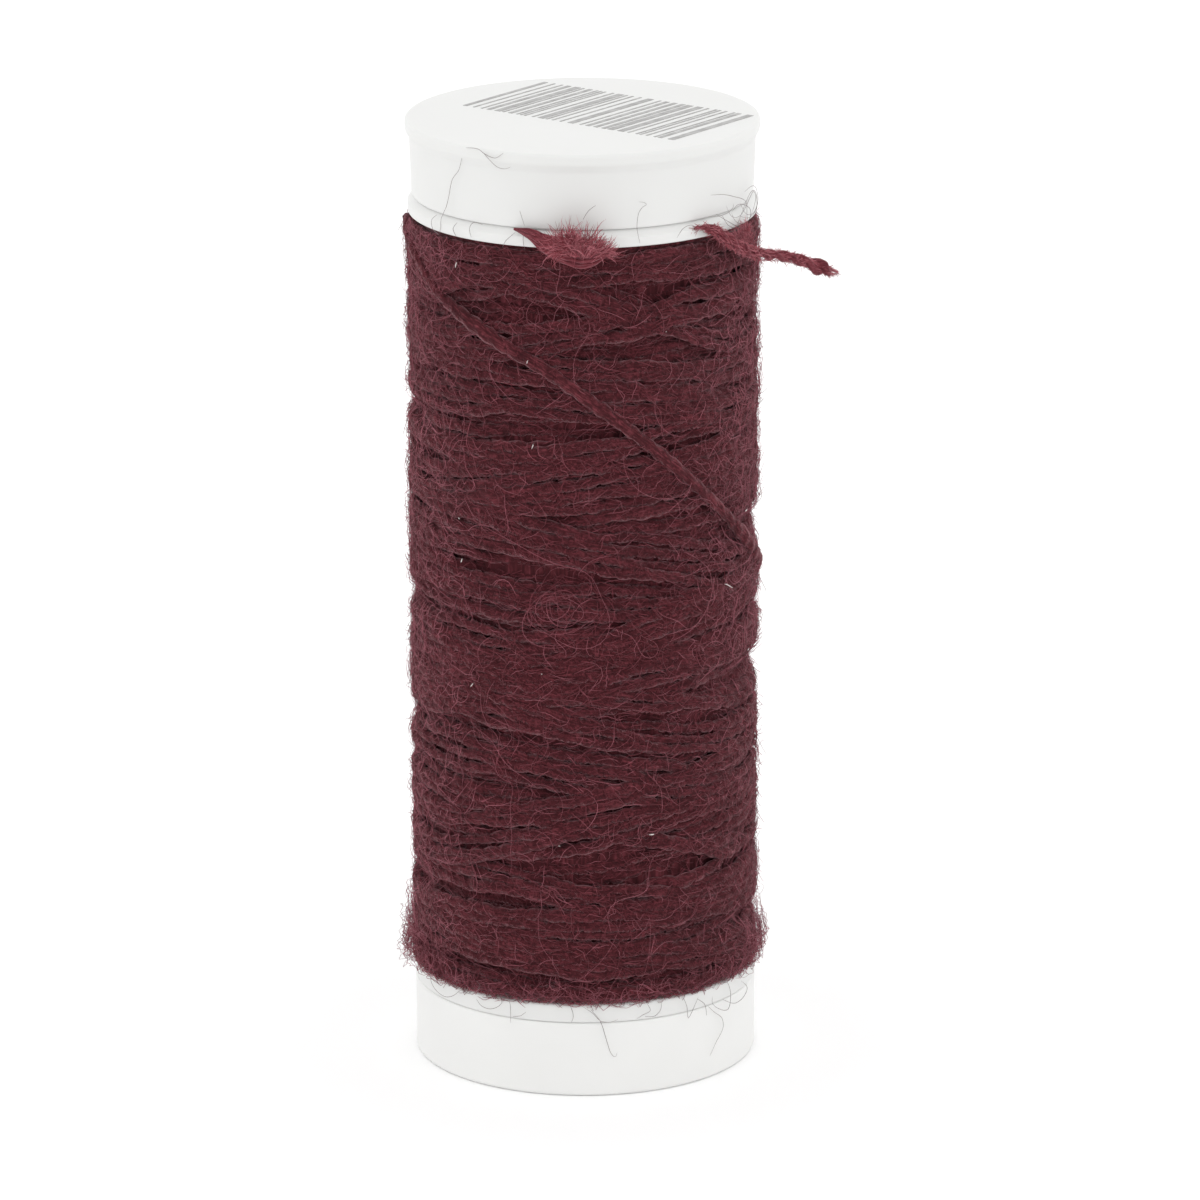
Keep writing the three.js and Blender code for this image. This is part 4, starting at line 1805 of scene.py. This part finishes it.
@dataclass(frozen=True)
class YarnEnd:
    """What the two ends of the yarn share: a route, and fibres that stand off it.

    Attributes:
        route: The route, from under the cap to the tip.
        samples: Points along the strand.
        steps: Points along a fibre.
        bend: Spread of the fibres' bends, in radians for a millimetre.
        to_tip: Share of the fibres that point towards the tip.
        seed: Seed of its fibres.
    """

    route: tuple[EndPoint, ...]
    samples: int = 110
    steps: int = 7
    bend: float = 0.9
    to_tip: float = 0.75
    seed: int = 61

    def course(self) -> tuple[Array, Array, Array]:
        """The route as a line of points.

        Returns:
            The points, the directions away from the axis there, and the shares of the full thickness.
        """
        turn = np.radians([point.turn_deg for point in self.route])
        out = np.array([point.out for point in self.route])
        height = np.array([point.height for point in self.route])
        curve, places = smooth_route(on_spool(turn, out, height), self.samples)
        size = np.interp(places, np.arange(len(turn)), [point.size for point in self.route])
        away = unit(curve * np.array([1.0, 1.0, 0.0]))
        return curve, away, size

    def stand_off(self, made: MeshBuilder, fluff: Fluff, thick: float, rng: Rng) -> None:
        """Adds short fibres that stand off the strand at a slant.

        Args:
            made: Mesh that they are added to.
            fluff: The kind of fibre.
            thick: The strand's full radius.
            rng: Random numbers.
        """
        count, shares = fluff.count, fluff.shares
        curve, away, size = self.course()
        tangent = unit(np.gradient(curve, axis=0))
        beside = np.cross(away, tangent)
        weight = np.interp(np.linspace(0, 1, self.samples), np.linspace(0, 1, len(shares)), shares)
        at = rng.choice(self.samples, count, p=weight / weight.sum())
        angle = rng.uniform(0, FULL_TURN, count)[:, None]
        off = np.cos(angle) * away[at] + np.sin(angle) * beside[at]
        roots = curve[at] + off * (size[at] * thick * 0.7)[:, None]
        along = rng.choice([-1.0, 1.0], (count, 1), p=[1 - self.to_tip, self.to_tip])
        headings = off + fluff.lean * along * tangent[at]
        paths = grown(roots, headings, rng.uniform(*fluff.length, count), self.bend, self.steps, rng)
        fibres(made, paths, fluff.radius * rng.uniform(0.8, 1.2, count), rng.uniform(*fluff.shade, count))


@dataclass(frozen=True)
class LooseEnd(YarnEnd):
    """The cut end that stands out from under the cap on the right: two plies with a fluffy tip.

    Attributes:
        ply: Section of the strand.
        fluffs: The fibres that stand off it.
        film: Turn in degrees, radius and height of each corner of the thin film beside it.
        film_fibres: Number of fibres in that film.
        film_thick: Radius of such a fibre.
    """

    route: tuple[EndPoint, ...] = (
        EndPoint(38.5, 10.98, 55.78, 0.12), EndPoint(41.5, 11.3, 55.86, 0.6),
        EndPoint(45.5, 11.68, 55.45, 1), EndPoint(51.5, 11.85, 54.6, 1),
        EndPoint(59.5, 11.95, 53.75, 1), EndPoint(68, 12.1, 53.15, 0.95),
        EndPoint(75, 12.85, 52.75, 0.95), EndPoint(79.5, 13.75, 52.3, 0.95),
        EndPoint(82, 14.55, 51.85, 1.2), EndPoint(83.2, 15.1, 51.55, 1.6), EndPoint(84, 15.55, 51.3, 0.8),
    )
    ply: Ply = Ply(half_wide=0.41, half_thick=0.41, waist=0.42, pitch=2.5, sides=14)
    film: tuple[Triple, ...] = ((55.0, 11.4, 54.7), (65.0, 11.3, 55.1), (71.0, 11.4, 53.5))
    film_fibres: int = 230
    film_thick: float = 0.014
    fluffs: tuple[Fluff, ...] = (
        Fluff(1200, (0.25, 0.6), 2.4, 0.021, (0.25, 0.85), (0.4, 1, 1, 1, 1, 1, 1, 1, 1.2, 1.8, 1.4)),
        Fluff(200, (0.3, 0.8), 1, 0.013, (0.25, 0.85), (0.1, 1.5, 1, 0.6, 1, 0.5, 0.4, 0.4, 0.6, 1, 0.8)),
    )

    def build(self, wool: Material, fibre: Material) -> None:
        """Makes the strand in place of its plain solid, and its fluff.

        Args:
            wool: The strand's material.
            fibre: The fluff's material.
        """
        rng = np.random.default_rng(self.seed)
        curve, away, size = self.course()
        strand = MeshBuilder("lie", 3)
        self.ply.tube(strand, curve, away, size, length_along(curve))
        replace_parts(strand.piece("loose_strand", wool, Slot.YARN), "loose_end")
        made = MeshBuilder("shade")
        for fluff in self.fluffs:
            self.stand_off(made, fluff, self.ply.half_wide, rng)
        turn_deg, out, height = np.array(self.film).T
        corners = on_spool(np.radians(turn_deg), out, height)
        count = self.film_fibres
        roots = rng.dirichlet(np.ones(3), count) @ corners
        headings = corners[1] - corners[2] + rng.normal(0, 0.6, (count, 3))
        paths = grown(roots, headings, rng.uniform(0.4, 1.0, count), self.bend, self.steps, rng)
        fibres(made, paths, self.film_thick * rng.uniform(0.8, 1.2, count), rng.uniform(0.4, 1.0, count))
        made.piece("loose_fluff", fibre, Slot.YARN)


@dataclass(frozen=True)
class BrushFibres:
    """Fibres of the brush: their number, their length and their radius."""

    count: int
    length: Span
    radius: float


@dataclass(frozen=True)
class FrayedEnd(YarnEnd):
    """The end that comes out from under the cap in front: a flat strand of locks, frayed to a brush.

    Attributes:
        locks: Number of locks side by side in the strand.
        half_wide: Half the strand's full width.
        half_thick: Half its full thickness.
        lock: Section of a lock.
        brush: The brush's fibres.
        brush_from_to: Shares of the strand's length between which the brush grows.
        fan_deg: Half the angle that its fibres fan over.
        clump_lean_deg: Spread of the clumps' own leans.
        fibre_lean_deg: Spread of the fibres' leans in a clump.
        tilt_deg: Least and most angle at which fibres stand out.
        clumps: Number of clumps that its fibres gather in.
        fluff: The short fibres that stand off the strand.
    """

    route: tuple[EndPoint, ...] = (
        EndPoint(-22.5, 10.95, 56.18, 0.06), EndPoint(-19.2, 11.15, 56.12, 0.34),
        EndPoint(-15.5, 11.35, 55.97, 0.66), EndPoint(-11.9, 11.6, 55.65, 0.85),
        EndPoint(-7.8, 11.8, 55.2, 0.97), EndPoint(-3, 11.95, 54.84, 1.02),
        EndPoint(2.3, 11.95, 54.81, 0.91), EndPoint(6.1, 11.85, 54.99, 0.57),
        EndPoint(8.6, 11.7, 55.12, 0.17),
    )
    locks: int = 9
    half_wide: float = 0.56
    half_thick: float = 0.3
    lock: Ply = Ply(half_wide=0.17, half_thick=0.15, waist=0.8, pitch=6.0, sides=6)
    brush: tuple[BrushFibres, ...] = (
        BrushFibres(480, (1.3, 2.4), 0.022), BrushFibres(190, (2, 2.9), 0.016),
        BrushFibres(240, (0.7, 1.4), 0.026),
    )
    brush_from_to: Span = (0.55, 0.84)
    fan_deg: float = 56.0
    clump_lean_deg: float = 16.0
    fibre_lean_deg: float = 7.0
    tilt_deg: Span = (-6.0, 32.0)
    clumps: int = 17
    fluff: Fluff = Fluff(200, (0.3, 0.6), 6.0, 0.022, (0.1, 0.6), (0, 0.25, 1, 1, 1, 1, 1, 0.3))

    def build(self, wool: Material, fibre: Material) -> None:
        """Makes the strand and its brush in place of their plain solid.

        Args:
            wool: The strand's material.
            fibre: The brush's material.
        """
        rng = np.random.default_rng(self.seed)
        curve, away, size = self.course()
        tangent = unit(np.gradient(curve, axis=0))
        across = np.cross(away, tangent)
        along = length_along(curve)
        strand = MeshBuilder("lie", 3)
        for number in range(self.locks):
            place = 2 * (number + 0.5) / self.locks - 1
            drift = Drift(70 + number, 4.0, 3)(along)
            aside = (place + 0.12 * drift) * self.half_wide * size
            depth = (np.sqrt(1 - 0.8 * place ** 2) * self.half_thick * rng.uniform(-0.6, 0.6)) * size
            points = curve + across * aside[:, None] + away * depth[:, None]
            tip = smoothstep((along[-1] * rng.uniform(0.86, 1.0) - along) / 0.9)
            keep = tip > 0.02
            thick = np.clip(size, 0.3, 1.3)[keep] * tip[keep] ** 0.5
            self.lock.tube(strand, points[keep], away[keep], thick, along[keep] + 3.0 * number)
        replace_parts(strand.piece("frayed_strand", wool, Slot.YARN), "frayed_end")
        self.build_brush(fibre, rng)

    def build_brush(self, fibre: Material, rng: Rng) -> None:
        """Makes the fan of single fibres, and the short fibres that stand off the strand.

        Args:
            fibre: The brush's material.
            rng: Random numbers.
        """
        made = MeshBuilder("shade")
        curve = self.course()[0]
        east, up, out = np.array([1.0, 0.0, 0.0]), np.array([0.0, 0.0, 1.0]), np.array([0.0, -1.0, 0.0])
        for kind in self.brush:
            count = kind.count
            clump = rng.integers(0, self.clumps, count)
            spot = rng.uniform(-1, 1, self.clumps)[clump] + rng.normal(0, 0.1, count)
            spot = np.clip(spot, -1.1, 1.1)
            at = np.interp(spot, (-1, 1), self.brush_from_to) * (self.samples - 1)
            lean_deg = self.fan_deg * spot + rng.normal(0, self.clump_lean_deg, self.clumps)[clump]
            lean = np.radians(lean_deg + rng.normal(0, self.fibre_lean_deg, count))[:, None]
            tilt = np.radians(rng.uniform(*self.tilt_deg, count))[:, None]
            flat = np.sin(lean) * east + np.cos(lean) * up
            roots = curve[at.astype(int)] + flat * rng.uniform(-0.1, 0.5, (count, 1))
            roots = roots + out * rng.uniform(-0.1, 0.3, (count, 1))
            headings = np.cos(tilt) * flat + np.sin(tilt) * out
            length = rng.uniform(*kind.length, count) * (1 - 0.3 * np.abs(spot))
            paths = grown(roots, headings, length, 0.55, 7, rng)
            fibres(made, paths, kind.radius * rng.uniform(0.8, 1.2, count), rng.uniform(0.15, 0.95, count))
        self.stand_off(made, self.fluff, self.half_thick, rng)
        made.piece("frayed_brush", fibre, Slot.YARN)


@dataclass(frozen=True)
class Hair:
    """One stray hair: its distance from the axis, and its turns in degrees and heights in order."""

    out: float
    places: tuple[Span, ...]

    def path(self, steps: int) -> Array:
        """Its points, lifted a little off the spool between its ends.

        Args:
            steps: Number of points.

        Returns:
            The points.
        """
        turn, height = np.array(self.places).T
        lift = 0.12 * np.sin(np.pi * np.linspace(0, 1, len(turn)))
        return smooth_route(on_spool(np.radians(turn), self.out + lift, height), steps)[0]


@dataclass(frozen=True)
class StrayHairs:
    """Grey hairs on the white mouldings.

    Attributes:
        hairs: Those on the top cap and its skirt, across the collar under it, and on the base cap.
        steps: Points along each.
        radius: Radius of a hair.
        seed: Seed of their shades.
    """

    hairs: tuple[Hair, ...] = (
        Hair(10.95, ((-54.2, 54.86), (-52.7, 55.48), (-52.3, 55.97), (-49.3, 56.88), (-47.7, 57.74),
            (-46.2, 58.75), (-43.3, 59.4), (-41.9, 60.32), (-39.9, 60.93))),
        Hair(11.15, ((-39.9, 60.93), (-34.3, 61), (-32.4, 60.81), (-28.2, 60.58), (-25.5, 60.95))),
        Hair(11.15, ((-32.9, 60.8), (-30, 60.38), (-27.3, 60.04), (-24.6, 59.98), (-22.9, 60.13))),
        Hair(10.95, ((-20.5, 57.39), (-19.4, 56.9), (-18.8, 56.41))),
        Hair(11.1, ((18.6, 55.3), (17.6, 56.13), (17.4, 56.53), (18, 57.32), (19.3, 57.65), (20.7, 57.79),
            (19.3, 57.94), (18, 57.96))),
        Hair(11.3, ((0.2, 57.01), (1.8, 57.58), (4.3, 57.94))),
        Hair(11.1, ((45, 57.73), (50.8, 57.58), (57.9, 57.15), (64.9, 56.55), (65.9, 55.86), (67, 55.01))),
        Hair(11.15, ((55.6, 56.28), (58.7, 56.61), (63.9, 56.4), (68.1, 55.85), (67, 55.41), (61.2, 55.33),
            (57.1, 55.74), (55.6, 56.28))),
        Hair(11.1, ((44.1, 56.37), (48.9, 56.29), (53.5, 56.36), (56.4, 56.57), (57.1, 56.78))),
        Hair(11.1, ((50.8, 56.3), (53.5, 55.55), (56.4, 55.28), (59.5, 55.24), (67, 55.01))),
        Hair(11.15, ((52.5, 56.9), (55.5, 56), (60.5, 55.9), (66, 56.6), (70.5, 57), (74, 56.4), (69, 55.3))),
        Hair(11.2, ((58, 55.2), (61.5, 56.1), (67.5, 57.1), (72, 56.9), (73.5, 55.8), (66, 55.5),
            (60, 55.9))),
        Hair(11.15, ((61, 56.7), (64, 55.9), (70, 55.6), (76, 56.2), (72, 57.3), (64, 57.2))),
        Hair(11.05, ((-53.2, 54.98), (-56, 55.27), (-56.6, 55.81), (-54.1, 56.23))),
        Hair(11.05, ((-44.6, 55.15), (-45.5, 55.65), (-44, 56.1))),
        Hair(11.05, ((-38.1, 55.28), (-38.5, 55.86), (-36.8, 56.31), (-33.5, 56.24))),
        Hair(11.05, ((-26.3, 54.98), (-24.8, 55.45), (-21.7, 56.01))),
        Hair(11.05, ((-18.6, 54.92), (-19, 55.68), (-17.9, 56.19), (-13.6, 55.87))),
        Hair(11.1, ((31.5, 55.4), (33.6, 56), (37.2, 56.1), (39.3, 55.6))),
        Hair(11.2, ((47.4, 56.46), (54.7, 55.62), (61.5, 55.03), (67.8, 54.9))),
        Hair(11.2, ((53.4, 55.12), (59.3, 55.07), (67.3, 55.05))),
        Hair(11.1, ((-62.6, 6.45), (-61.8, 5.81), (-57.5, 5.38), (-51.6, 5.32), (-47.2, 5.71), (-44.5, 6.13),
            (-40.5, 6.05), (-37.2, 6.44), (-36.5, 6.81), (-38.8, 7.05))),
        Hair(11.1, ((-38.3, 5.8), (-36.2, 5.46), (-32.6, 5.38), (-29.7, 5.61), (-27.9, 6), (-28.9, 6.4),
            (-30.6, 6.17))),
        Hair(11.05, ((-27.3, 6.62), (-25.7, 6.33), (-25, 5.75), (-25.2, 4.6))),
        Hair(11.05, ((-24.5, 5.09), (-21.3, 5.26), (-19.7, 5.51))),
        Hair(11.05, ((-5.4, 6.34), (-4.3, 5.92), (-3.8, 5.42), (-4.5, 4.99))),
        Hair(11.1, ((-0.9, 6.1), (2.5, 5.67), (5, 5.15), (8.3, 5.04), (11, 5.18))),
        Hair(11, ((1.6, 5.93), (5, 5.07), (6.2, 4.38), (7.4, 3.53), (8.7, 2.84), (10, 2.65), (10.6, 2.95))),
        Hair(11.05, ((17, 5.07), (19.5, 5.36), (21.7, 5.56), (20.8, 6))),
        Hair(11.05, ((19.9, 5.18), (23.1, 5.14), (25.4, 5.54), (25.8, 6.04))),
        Hair(11.1, ((31.6, 6.61), (33.5, 6.12), (35.1, 5.38), (35.6, 4.6), (37.7, 5.11), (40.4, 5.84))),
        Hair(11.05, ((39.8, 5.69), (42.7, 5.23), (44.2, 4.34))),
        Hair(11, ((45, 4.95), (48.1, 4.37), (51.4, 3.86), (52.1, 3.14), (48.8, 2.38), (45.9, 1.5))),
        Hair(11.1, ((46.8, 5.54), (46.2, 5.15), (49.4, 4.6), (54.2, 4.31), (55.7, 5.25), (53.5, 6.22),
            (50, 6.32))),
        Hair(11.1, ((51.4, 5.14), (58.1, 4.47), (64.4, 4.57), (67.7, 4.97), (63.4, 5.66))),
    )
    steps: int = 28
    radius: float = 0.018
    seed: int = 81

    def build(self, hair: Material) -> None:
        """Makes all of them as one piece.

        Args:
            hair: Their material.
        """
        rng = np.random.default_rng(self.seed)
        made = MeshBuilder("shade")
        count = len(self.hairs)
        paths = np.stack([hair_line.path(self.steps) for hair_line in self.hairs])
        fibres(made, paths, np.full(count, self.radius), rng.uniform(0.2, 0.7, count))
        made.piece("stray_hairs", hair, Slot.YARN)


@dataclass(frozen=True)
class Viewpoint:
    """Camera at the photograph's place: a little above, looking at the middle of the spool.

    Attributes:
        pitch_deg: How steeply it looks down.
        roll_deg: Its roll.
        distance: Its distance from the axis.
        focal_pixels: Its focal length in pixels of the photograph's frame.
        frame_pixels: Width of that frame.
        aside: How far it stands towards +X.
        aim: Height that it looks at.
        sensor: Width of its sensor.
        clip: Nearest and farthest distance that it sees, in metres.
    """

    pitch_deg: float = 16.25
    roll_deg: float = -0.168
    distance: float = 500.0
    focal_pixels: float = 7876.0
    frame_pixels: float = 1200.0
    aside: float = 1.02
    aim: float = 29.52
    sensor: float = 36.0
    clip: Span = (0.01, 20.0)

    def build(self) -> None:
        """Makes the camera and gives it to the scene."""
        pitch, roll = np.radians(self.pitch_deg), np.radians(self.roll_deg)
        level = np.array([1.0, 0.0, 0.0])
        tall = np.array([0.0, np.sin(pitch), np.cos(pitch)])
        right = level * np.cos(roll) + tall * np.sin(roll)
        up = tall * np.cos(roll) - level * np.sin(roll)
        back = np.cross(right, up)
        off = self.distance * np.array([0.0, -np.cos(pitch), np.sin(pitch)])
        place = np.array([self.aside, 0.0, self.aim]) + off
        data = bpy.data.cameras.new("photo_camera")
        data.sensor_width = self.sensor
        data.lens = self.sensor * self.focal_pixels / self.frame_pixels
        data.clip_start, data.clip_end = self.clip
        camera = bpy.data.objects.new("photo_camera", data)
        columns = zip(right, up, back, place * MM)
        camera.matrix_world = Matrix([*(tuple(map(float, row)) for row in columns), (0, 0, 0, 1)])
        bpy.context.scene.collection.objects.link(camera)
        bpy.context.scene.camera = camera


@dataclass(frozen=True)
class Lamp:
    """Square lamp that faces the middle of the spool.

    Attributes:
        name: Its name.
        place: Where it stands, in metres.
        power: Its power, in watts.
        size: Its side, in metres.
        aim: Point that it faces, in metres.
    """

    name: str
    place: Triple
    power: float
    size: float = 0.35
    aim: Triple = (0.0, 0.0, 0.03)

    def build(self) -> None:
        """Makes the lamp."""
        data = bpy.data.lights.new(self.name, "AREA")
        data.size = self.size
        data.energy = self.power
        made = bpy.data.objects.new(self.name, data)
        made.location = self.place
        made.rotation_mode = "QUATERNION"
        made.rotation_quaternion = (Vector(self.aim) - Vector(self.place)).to_track_quat("-Z", "Y")
        bpy.context.scene.collection.objects.link(made)


@dataclass(frozen=True)
class Studio:
    """Pale floor and soft white light.

    Attributes:
        floor_size: Side of the floor, in metres.
        dim: Colour of the floor's slightly darker places.
        pale: Colour of the rest of it.
        sky: Strength of the even light from all round.
        lamps: The lamps at both sides.
    """

    floor_size: float = 6.0
    dim: Colour = (0.97, 0.97, 0.97)
    pale: Colour = (0.99, 0.99, 0.99)
    sky: float = 1.19
    lamps: tuple[Lamp, ...] = (
        Lamp("left_lamp", (-0.50, -0.10, 0.16), 0.10),
        Lamp("right_lamp", (0.50, -0.10, 0.16), 0.08),
    )

    def build(self) -> None:
        """Makes the floor, the even light and the lamps."""
        scene = bpy.context.scene
        scene.view_settings.view_transform = "Standard"
        world = bpy.data.worlds.new("studio")
        world.use_nodes = True
        light = world.node_tree.nodes["Background"]
        light.inputs["Color"].default_value = (1.0, 1.0, 1.0, 1.0)
        light.inputs["Strength"].default_value = self.sky
        scene.world = world
        bench = Bench("pale_floor")
        tone = bench.noise(bench.node("TexCoord").outputs["Object"], 3.0, 2.0)
        bench.shade(Base_Color=bench.ramp(tone, [(0.3, self.dim), (0.7, self.pale)]), Roughness=0.8)
        half = self.floor_size / 2
        corners = [(-half, -half, 0), (half, -half, 0), (half, half, 0), (-half, half, 0)]
        mesh = bpy.data.meshes.new("studio_floor")
        mesh.from_pydata(corners, [], [(0, 1, 2, 3)])
        mesh.materials.append(bench.material)
        floor = bpy.data.objects.new("studio_floor", mesh)
        scene.collection.objects.link(floor)
        for lamp in self.lamps:
            lamp.build()


def main() -> None:
    """Builds the studio, the spool, the yarn and its fuzz."""
    logging.basicConfig(level=logging.INFO, format="%(name)s: %(message)s")
    Viewpoint().build()
    Studio().build()
    spool = Spool()
    spool.build(MouldedPlastic().material(), BASE_PLASTIC_PAINTED_LIGHT.material())
    PrintedBars().build(spool.height, Ink().material())
    wool = CardedWool().material()
    fibre = WOOL_FIBRE.material()
    winding = Winding(
        foot=spool.lower_flange_top + spool.gap / 2,
        top=spool.flange_underside - spool.gap,
        barrel=spool.barrel_radius,
        gap=spool.gap,
    )
    winding.wind()
    winding.build(wool)
    Fuzz(winding, spool.upper_flange_radius).build(fibre)
    FootBelt(winding.foot, spool.upper_flange_radius).build(fibre)
    LoopNest().build(winding.surface, fibre)
    Lint().build(winding.surface, PALE_LINT.material())
    free_wool_painted_light = FREE_WOOL_PAINTED_LIGHT.material()
    free_fibre_painted_light = FREE_FIBRE_PAINTED_LIGHT.material()
    LooseEnd().build(free_wool_painted_light, free_fibre_painted_light)
    FrayedEnd().build(free_wool_painted_light, free_fibre_painted_light)
    StrayHairs().build(GREY_HAIR.material())


if __name__ == "__main__":
    main()
